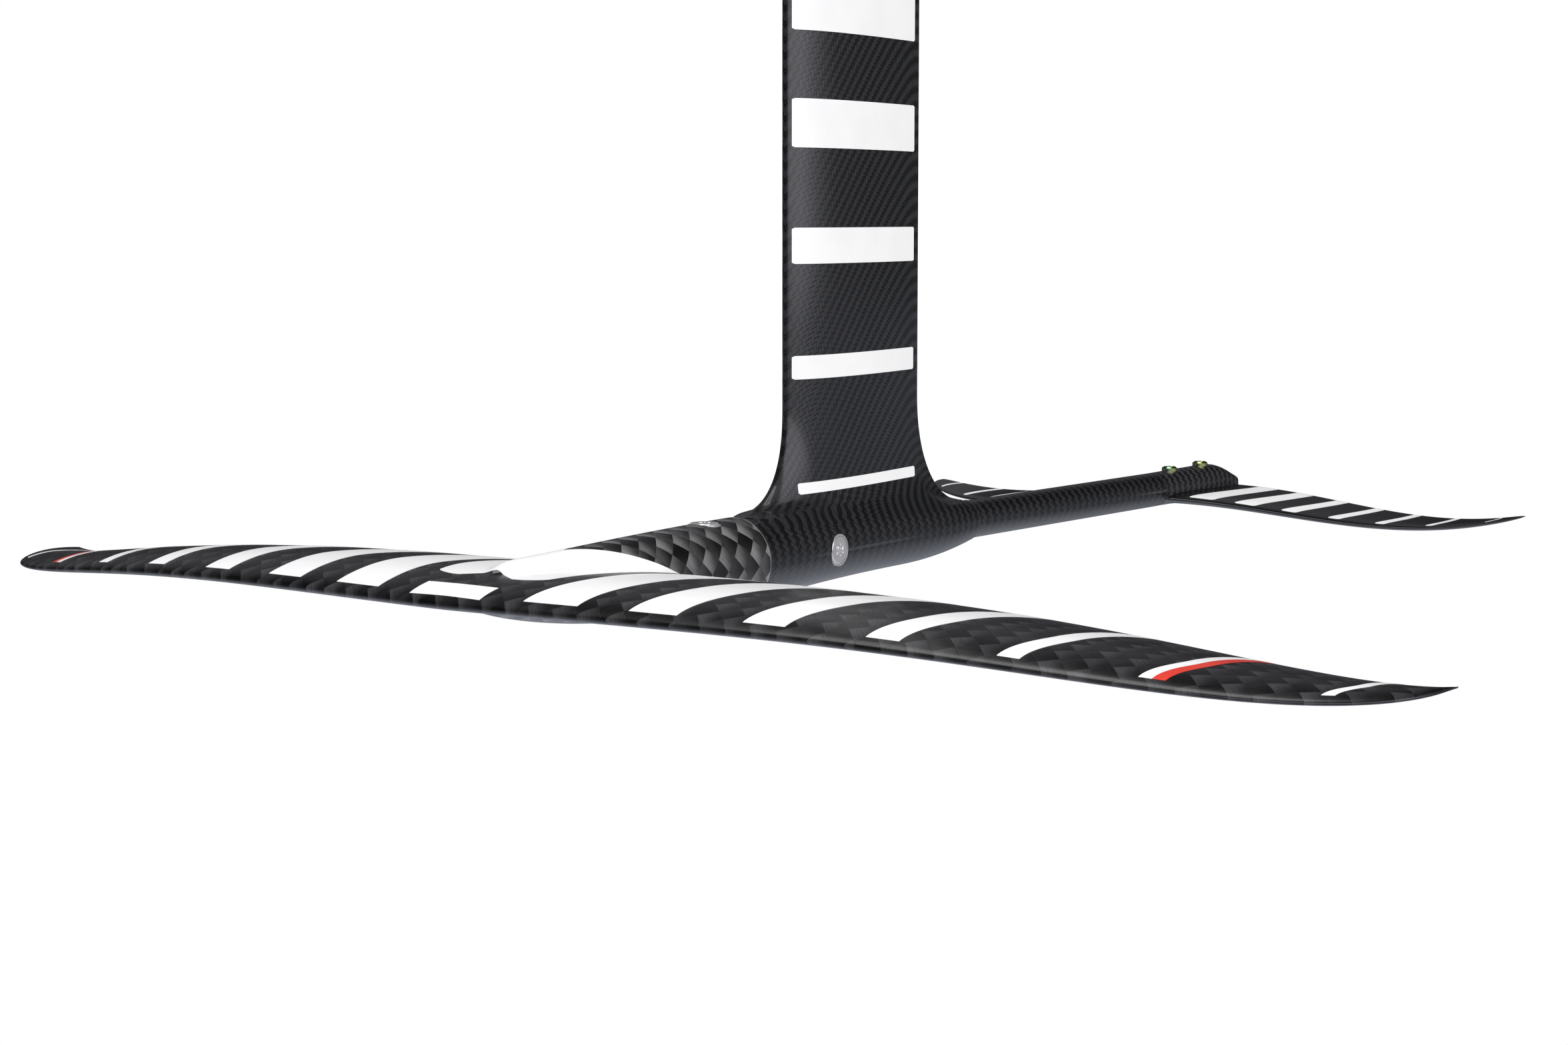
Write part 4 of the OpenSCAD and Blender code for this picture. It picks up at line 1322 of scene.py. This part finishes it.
@dataclass
class Stabiliser:
    """The rear wing, moulded round the tail of the fuselage, with its tube and its bands."""

    tail_start: float = 324.0
    tail_length: float = 110.0
    tube_start: float = 58.0
    foot_end: float = 108.0
    tube_radius: float = 10.0
    drop: float = 2.1
    bands: tuple[tuple[float, float], ...] = (
        (20.3, 35.3),
        (47.4, 59.8),
        (74.5, 83.4),
        (100.9, 107.6),
        (126.4, 131.9),
        (152.9, 156.9),
        (181.9, 183.5),
    )
    foil: Foil = field(
        default_factory=lambda: Foil(
            197.0, 325.4, 412.5, 1.2, 0.4293, 434.0, 1.0, (-7.0, -47.47, 54.04, -13.12),
            0.0624, 0.054, -0.0149, 0.0067, -0.0274, 0.3,
        )
    )

    def share(self, along: Array) -> Array:
        """Returns how far along the tail a place is."""
        return np.clip((along - self.tail_start) / self.tail_length, 0.0, 1.0)

    def top(self, along: Array) -> Array:
        """Returns the tail's upper edge."""
        fall = np.maximum(0.0, self.share(along) - 0.62) / 0.38
        return self.tube_radius - self.drop - 11.5 * fall**2.2

    def side(self, along: Array) -> Array:
        """Returns the tail's half width."""
        return self.tube_radius * (1.0 - 0.45 * self.share(along) ** 4)

    def low(self, along: Array) -> Array:
        """Returns the tail's lower edge."""
        return -self.tube_radius - self.drop + 8.0 * np.maximum(0.0, self.share(along) - 0.12)

    def middle(self, along: Array) -> Array:
        """Returns the height of the tail's widest line."""
        return np.minimum(self.top(along) - 1.0, -self.drop)

    def fillet(self, along: Array) -> Array:
        """Returns the fillet between the tail and the stabiliser, which dies out at both ends."""
        fore = smooth_step((along - self.foil.root_lead) / 12.0)
        aft = smooth_step((self.foil.root_trail - along) / 12.0)
        return 2.2 * fore * aft

    def form(self) -> FoilShell:
        """Returns the stabiliser and tail as one filleted form."""
        return FoilShell(
            self.foil,
            self.side,
            self.top,
            self.low,
            self.middle,
            self.fillet,
            rows=64,
            outward=(0.08, 0.25, 0.5, 0.85, 1.3, 1.9, 2.7, 3.8, 5.2, 7.0, 9.5),
            tip_columns=50,
        )

    def tube(self) -> bpy.types.Object:
        """Builds the fuselage's tube, which drops slightly towards the tail."""
        joint = self.foil.root_lead
        run = np.linspace(100.0, joint, 40)
        along = np.concatenate([[self.tube_start + 2.0], run, [joint + 0.8, joint + 4.0]])
        shrink = np.zeros(along.size)
        shrink[-2:] = (0.15, 0.3)
        reach = self.tail_start - self.foot_end
        level = -self.drop * np.clip((along - self.foot_end) / reach, -0.3, 1.0)
        angle = np.radians(np.linspace(-180.0, 180.0, 121))[:, None]
        across = (self.tube_radius - shrink) * np.cos(angle)
        height = level + (self.tube_radius - shrink) * np.sin(angle)
        grid = lay_points(across, along[None, :], height)
        girth = np.broadcast_to(self.tube_radius * angle, across.shape)
        lay = BIAS * np.stack([grid[..., 1], girth], axis=-1)
        shell = Shell()
        shell.add(grid, lay)
        return shell.build("fuselage_tube_skin")

    def white_bands(self, form: FoilShell) -> bpy.types.Object:
        """Builds the rounded bands on the stabiliser."""
        shell = Shell()

        def side_of(start: float, centre: float) -> Callable[[Array], Array]:
            """Returns a band's side, in a shallow S that narrows aft."""
            bow = 1.5 * centre / self.foil.half_span
            return lambda run: start + (centre - start) * 0.12 * run + bow * np.sin(math.pi * run)

        def front(across: Array) -> Array:
            """Returns the share of the chord at a band's front end."""
            return 5.0 / self.foil.chord(across)

        def rear(across: Array) -> Array:
            """Returns the share of the chord at a band's rear end."""
            return np.full_like(across, 0.985)

        for start, end in self.bands:
            centre = (start + end) / 2.0
            rounded = min(2.0, (end - start) / 2.2)
            form.band(shell, (side_of(start, centre), side_of(end, centre)), (front, rear), rounded)
        return shell.build("stabiliser_bands")

    def build(self, palette: Palette) -> None:
        """Builds and dresses the stabiliser and the tube."""
        form = self.form()
        nodes = ("stabiliser_upper_skin", "stabiliser_lower_skin", "tail_block")
        take_over(form.build("stabiliser_skin"), palette.stabiliser, nodes)
        take_over(self.tube(), palette.twill, ("fuselage_tube",))
        take_over(self.white_bands(form), palette.white)


# ---- Fastenings -------------------------------------------------------------------------------


class Facing(Enum):
    """The way a bolt's head faces."""

    PORT = "port"
    UP = "up"


def seat_matrix(place: Place, facing: Facing) -> Matrix:
    """Returns the move from the origin, facing up, to a seat.

    Args:
        place: The seat, in millimetres.
        facing: The way that it faces.

    Returns:
        The matrix, in metres.
    """
    across, along, height = place
    shift = Matrix.Translation(Vector((across, along, height + AXIS_HEIGHT)) * MM)
    if facing is Facing.PORT:
        return shift @ Matrix.Rotation(math.radians(90.0), 4, "Y")
    return shift


@dataclass
class Bolt:
    """A socket-head bolt with a six-lobed recess, made from one turned blank."""

    name: str
    seat: Place
    facing: Facing
    head_radius: float
    head_height: float
    shank_radius: float
    shank_length: float
    crown: float = 0.5
    socket_radius: float = 3.1
    socket_depth: float = 1.9
    points: int = 96

    def blank(self) -> bpy.types.Object:
        """Turns the head, sinks the socket and draws out the shank, standing on the origin."""
        bpy.ops.object.select_all(action="DESELECT")
        bpy.ops.mesh.primitive_cylinder_add(
            vertices=self.points,
            radius=self.head_radius * MM,
            depth=self.head_height * MM,
            location=(0.0, 0.0, self.head_height * MM / 2.0),
        )
        piece = bpy.context.view_layer.objects.active
        piece.name = self.name
        bpy.ops.object.transform_apply(location=True, rotation=True, scale=True)
        bpy.ops.object.mode_set(mode="EDIT")
        bpy.ops.mesh.select_mode(type="FACE")
        self.pick(piece, lambda face: face.normal.z > 0.9)
        bpy.ops.mesh.inset(thickness=self.crown * MM, depth=0.0)
        self.lower_rim(piece)
        self.pick(piece, self.is_top)
        rim = self.socket_radius + 0.35
        bpy.ops.mesh.inset(thickness=(self.head_radius - self.crown - rim) * MM, depth=0.0)
        self.shape_lobes(piece, rim)
        self.pick(piece, self.is_top)
        bpy.ops.mesh.inset(thickness=0.3 * MM, depth=-0.25 * MM)
        down = (0.0, 0.0, -self.socket_depth * MM)
        bpy.ops.mesh.extrude_region_move(TRANSFORM_OT_translate={"value": down})
        bpy.ops.mesh.inset(thickness=0.5 * MM, depth=-0.2 * MM)
        self.pick(piece, lambda face: face.normal.z < -0.9 and abs(face.calc_center_median().z) < 1e-7)
        bpy.ops.mesh.inset(thickness=(self.head_radius - self.shank_radius) * MM, depth=0.0)
        down = (0.0, 0.0, -self.shank_length * MM)
        bpy.ops.mesh.extrude_region_move(TRANSFORM_OT_translate={"value": down})
        bpy.ops.mesh.select_all(action="SELECT")
        bpy.ops.mesh.normals_make_consistent(inside=False)
        bpy.ops.object.mode_set(mode="OBJECT")
        return piece

    def pick(self, piece: bpy.types.Object, wanted: Callable[[Any], bool]) -> None:
        """Selects only the faces that a test accepts."""
        bpy.ops.mesh.select_all(action="DESELECT")
        work = bmesh.from_edit_mesh(piece.data)
        for face in work.faces:
            face.select_set(wanted(face))
        bmesh.update_edit_mesh(piece.data)

    def is_top(self, face: Any) -> bool:
        """Tells whether a face is the disc in the middle of the head."""
        centred = face.calc_center_median().xy.length < 1e-5
        return face.normal.z > 0.9 and centred and len(face.verts) == self.points

    def lower_rim(self, piece: bpy.types.Object) -> None:
        """Lowers the head's outer rim, so that the crown stands above it."""
        work = bmesh.from_edit_mesh(piece.data)
        for vertex in work.verts:
            if vertex.co.z > 1e-6 and vertex.co.xy.length > (self.head_radius - 0.01) * MM:
                vertex.co.z -= self.crown * 0.8 * MM
        bmesh.update_edit_mesh(piece.data)

    def shape_lobes(self, piece: bpy.types.Object, radius: float) -> None:
        """Pulls the selected disc's rim into six lobes."""
        work = bmesh.from_edit_mesh(piece.data)
        for vertex in work.verts:
            if vertex.select:
                angle = math.atan2(vertex.co.y, vertex.co.x)
                reach = radius * (0.885 + 0.115 * math.cos(6.0 * angle)) * MM
                vertex.co.x = reach * math.cos(angle)
                vertex.co.y = reach * math.sin(angle)
        bmesh.update_edit_mesh(piece.data)

    def build(self, material: bpy.types.Material, slot: str) -> bpy.types.Object:
        """Places the bolt on its seat and dresses it.

        Args:
            material: Its finish.
            slot: Not used.

        Returns:
            The finished piece.
        """
        piece = self.blank()
        piece.data.transform(seat_matrix(self.seat, self.facing))
        smooth_by_angle(piece, 30.0)
        take_over(piece, material)
        return piece


def sink_pocket(
    piece: bpy.types.Object, place: Place, radius: float, facing: Facing, depth: float
) -> None:
    """Cuts a round pocket into a skin, for a bolt and its ferrule.

    Args:
        piece: The skin.
        place: The middle of the pocket's floor, in millimetres.
        radius: The pocket's radius.
        facing: The way the pocket opens.
        depth: How far the cutter reaches from the floor.
    """
    bpy.ops.object.select_all(action="DESELECT")
    bpy.ops.mesh.primitive_cylinder_add(vertices=96, radius=radius * MM, depth=depth * MM)
    cutter = bpy.context.view_layer.objects.active
    lift = Matrix.Translation(Vector((0.0, 0.0, depth * MM / 2.0)))
    cutter.data.transform(seat_matrix(place, facing) @ lift)
    bpy.ops.object.select_all(action="DESELECT")
    piece.select_set(True)
    bpy.context.view_layer.objects.active = piece
    cut = piece.modifiers.new("pocket", "BOOLEAN")
    cut.operation = "DIFFERENCE"
    cut.solver = "EXACT"
    cut.object = cutter
    bpy.ops.object.modifier_apply(modifier=cut.name)
    bpy.data.objects.remove(cutter, do_unlink=True)
    smooth_by_angle(piece, 35.0)


class Fastenings:
    """All the bolts that hold the parts together."""

    def build(self, palette: Palette) -> None:
        """Builds the side bolt, the neck bolt and the two tail bolts."""
        side = Bolt("side_bolt_head", (14.4, -38.0, 0.0), Facing.PORT, 6.75, 3.1, 3.9, 14.0)
        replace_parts(side.build(palette.steel, "steel"), "side_bolt")
        neck = Bolt("neck_bolt_head", (0.0, -124.3, 17.1), Facing.UP, 6.75, 3.1, 3.9, 14.0)
        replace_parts(neck.build(palette.steel, "steel"), "neck_bolt")
        rear: list[bpy.types.Object] = []
        for number, along in enumerate((348.5, 390.0), start=1):
            bolt = Bolt(
                name=f"tail_bolt_{number}",
                seat=(0.0, along, 7.3),
                facing=Facing.UP,
                head_radius=4.6,
                head_height=2.75,
                shank_radius=2.4,
                shank_length=9.0,
                crown=1.1,
                socket_radius=1.9,
                socket_depth=1.2,
            )
            rear.append(bolt.build(palette.tinted, "anodised_bolt"))
        for piece in rear:
            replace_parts(piece, "tail_bolts")


# ---- The nodes kept from the frame -------------------------------------------------------------


class KeptNodes:
    """The CAD nodes that stay as they are and only take a finish."""

    def dress(self, palette: Palette) -> None:
        """Assigns a finish to every kept node."""
        finishes = {
            "base_plate": palette.plate,
            "mast_core": palette.core,
            "mast_spar": palette.spar,
            "side_bolt_ferrule": palette.steel,
            "fuselage_head": palette.titanium,
            "neck_sleeve": palette.titanium,
            "neck_bolt_ferrule": palette.steel,
            "wing_core": palette.core,
            "wing_spar": palette.spar,
            "stabiliser_core": palette.core,
            "stabiliser_inserts": palette.brass,
        }
        for name, material in finishes.items():
            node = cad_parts[name]
            node.data.materials.clear()
            node.data.materials.append(material)
            log.info("%s: kept, finish %s", name, material.name)


# ---- The studio ---------------------------------------------------------------------------------


@dataclass(frozen=True)
class Studio:
    """The camera, the pale floor and the soft lights."""

    place: Place = (0.7300, -1.1225, -0.6897)
    direction: Place = (-0.56266, 0.81898, -0.11254)
    lens: float = 62.456
    floor_height: float = -1.15
    lamp_place: Place = (0.0, -0.2, 2.4)
    lamp_aim: Place = (0.0, 0.0, -0.85)
    lamp_size: tuple[float, float] = (2.4, 2.4)
    lamp_power: float = 46.0
    panels: tuple[tuple[float, ...], ...] = (
        (-16.0, 30.0, 72.0, -0.1, 0.45, 2.0),
        (135.0, 10.0, 45.0, 0.25, 0.45, 0.12),
    )

    def camera(self) -> None:
        """Sets up the camera."""
        data = bpy.data.cameras.new("camera")
        data.lens = self.lens
        data.sensor_width = 36.0
        data.clip_start = 0.01
        data.clip_end = 60.0
        camera = bpy.data.objects.new("camera", data)
        camera.location = self.place
        camera.rotation_euler = Vector(self.direction).to_track_quat("-Z", "Y").to_euler()
        bpy.context.scene.collection.objects.link(camera)
        bpy.context.scene.camera = camera

    def floor(self) -> None:
        """Lays the floor: white to the eye, cool grey in the gloss above it."""
        bpy.ops.object.select_all(action="DESELECT")
        bpy.ops.mesh.primitive_plane_add(size=24.0, location=(0.0, 0.0, self.floor_height))
        piece = bpy.context.view_layer.objects.active
        piece.name = "floor"
        bpy.ops.object.transform_apply(location=True, rotation=True, scale=True)
        material = bpy.data.materials.new("floor")
        material.use_nodes = True
        tree = material.node_tree
        tree.nodes.clear()
        graph = Graph(tree)
        path = graph.node("ShaderNodeLightPath")
        seen = graph.node("ShaderNodeEmission")
        graph.feed(seen.inputs["Color"], (1.0, 1.0, 1.0, 1.0))
        graph.feed(seen.inputs["Strength"], 1.0)
        mirrored = graph.node("ShaderNodeEmission")
        graph.feed(mirrored.inputs["Color"], (0.80, 0.85, 1.0, 1.0))
        reach = graph.node("ShaderNodeVectorMath", operation="LENGTH")
        graph.feed(reach.inputs[0], graph.place())
        graph.feed(mirrored.inputs["Strength"], graph.ramp(reach.outputs["Value"], 0.7, 1.8, 0.85, 0.12))
        diffuse = graph.node("ShaderNodeEmission")
        graph.feed(diffuse.inputs["Strength"], 1.1)
        first = graph.node("ShaderNodeMixShader")
        graph.feed(first.inputs[0], path.outputs["Is Glossy Ray"])
        graph.feed(first.inputs[1], diffuse.outputs[0])
        graph.feed(first.inputs[2], mirrored.outputs[0])
        second = graph.node("ShaderNodeMixShader")
        graph.feed(second.inputs[0], path.outputs["Is Camera Ray"])
        graph.feed(second.inputs[1], first.outputs[0])
        graph.feed(second.inputs[2], seen.outputs[0])
        out = graph.node("ShaderNodeOutputMaterial")
        graph.feed(out.inputs["Surface"], second.outputs[0])
        piece.data.materials.append(material)

    def world(self) -> None:
        """Sets the surround: white to the eye, and a dark sky in the gloss."""
        world = bpy.data.worlds.new("studio")
        bpy.context.scene.world = world
        world.use_nodes = True
        world.cycles.sampling_method = "NONE"
        tree = world.node_tree
        tree.nodes.clear()
        graph = Graph(tree)
        path = graph.node("ShaderNodeLightPath")
        coordinates = graph.node("ShaderNodeTexCoord")
        x, y, up = graph.parts(coordinates.outputs["Generated"])
        turn = graph.sum("ARCTAN2", y, x)
        glow = graph.ramp(up, 0.0, 0.3, 0.02, 0.015)
        for middle, inner, outer, low, high, power in self.panels:
            off = graph.sum("ABSOLUTE", graph.sum("SUBTRACT", turn, math.radians(middle)))
            panel = graph.ramp(off, math.radians(inner), math.radians(outer), power, 0.0)
            panel = graph.sum("MULTIPLY", panel, graph.ramp(up, low - 0.2, low, 0.0, 1.0))
            panel = graph.sum("MULTIPLY", panel, graph.ramp(up, high, high + 0.2, 1.0, 0.0))
            glow = graph.sum("ADD", glow, panel)
        white = graph.node("ShaderNodeBackground")
        graph.feed(white.inputs["Color"], (1.0, 1.0, 1.0, 1.0))
        dim = graph.node("ShaderNodeBackground")
        graph.feed(dim.inputs["Color"], (0.92, 0.92, 1.0, 1.0))
        graph.feed(dim.inputs["Strength"], glow)
        soft = graph.node("ShaderNodeBackground")
        graph.feed(soft.inputs["Strength"], 1.35)
        first = graph.node("ShaderNodeMixShader")
        graph.feed(first.inputs[0], path.outputs["Is Glossy Ray"])
        graph.feed(first.inputs[1], soft.outputs[0])
        graph.feed(first.inputs[2], dim.outputs[0])
        second = graph.node("ShaderNodeMixShader")
        graph.feed(second.inputs[0], path.outputs["Is Camera Ray"])
        graph.feed(second.inputs[1], first.outputs[0])
        graph.feed(second.inputs[2], white.outputs[0])
        out = graph.node("ShaderNodeOutputWorld")
        graph.feed(out.inputs["Surface"], second.outputs[0])

    def lamp(self) -> None:
        """Adds a soft lamp overhead that the camera doesn't see."""
        data = bpy.data.lights.new("overhead", "AREA")
        data.shape = "RECTANGLE"
        data.size, data.size_y = self.lamp_size
        data.energy = self.lamp_power
        lamp = bpy.data.objects.new("overhead", data)
        lamp.location = self.lamp_place
        way = Vector(self.lamp_aim) - Vector(self.lamp_place)
        lamp.rotation_euler = way.to_track_quat("-Z", "Y").to_euler()
        lamp.visible_camera = False
        bpy.context.scene.collection.objects.link(lamp)

    def build(self) -> None:
        """Builds the whole studio."""
        self.camera()
        self.floor()
        self.world()
        self.lamp()
        bpy.context.scene.view_settings.view_transform = "Standard"


def main() -> None:
    """Builds the object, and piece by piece."""
    logging.basicConfig(level=logging.INFO, format="%(message)s")
    Studio().build()
    palette = Palette()
    Mast().build(palette)
    FrontWing().build(palette)
    Stabiliser().build(palette)
    Fastenings().build(palette)
    KeptNodes().dress(palette)


if __name__ == "__main__":
    main()
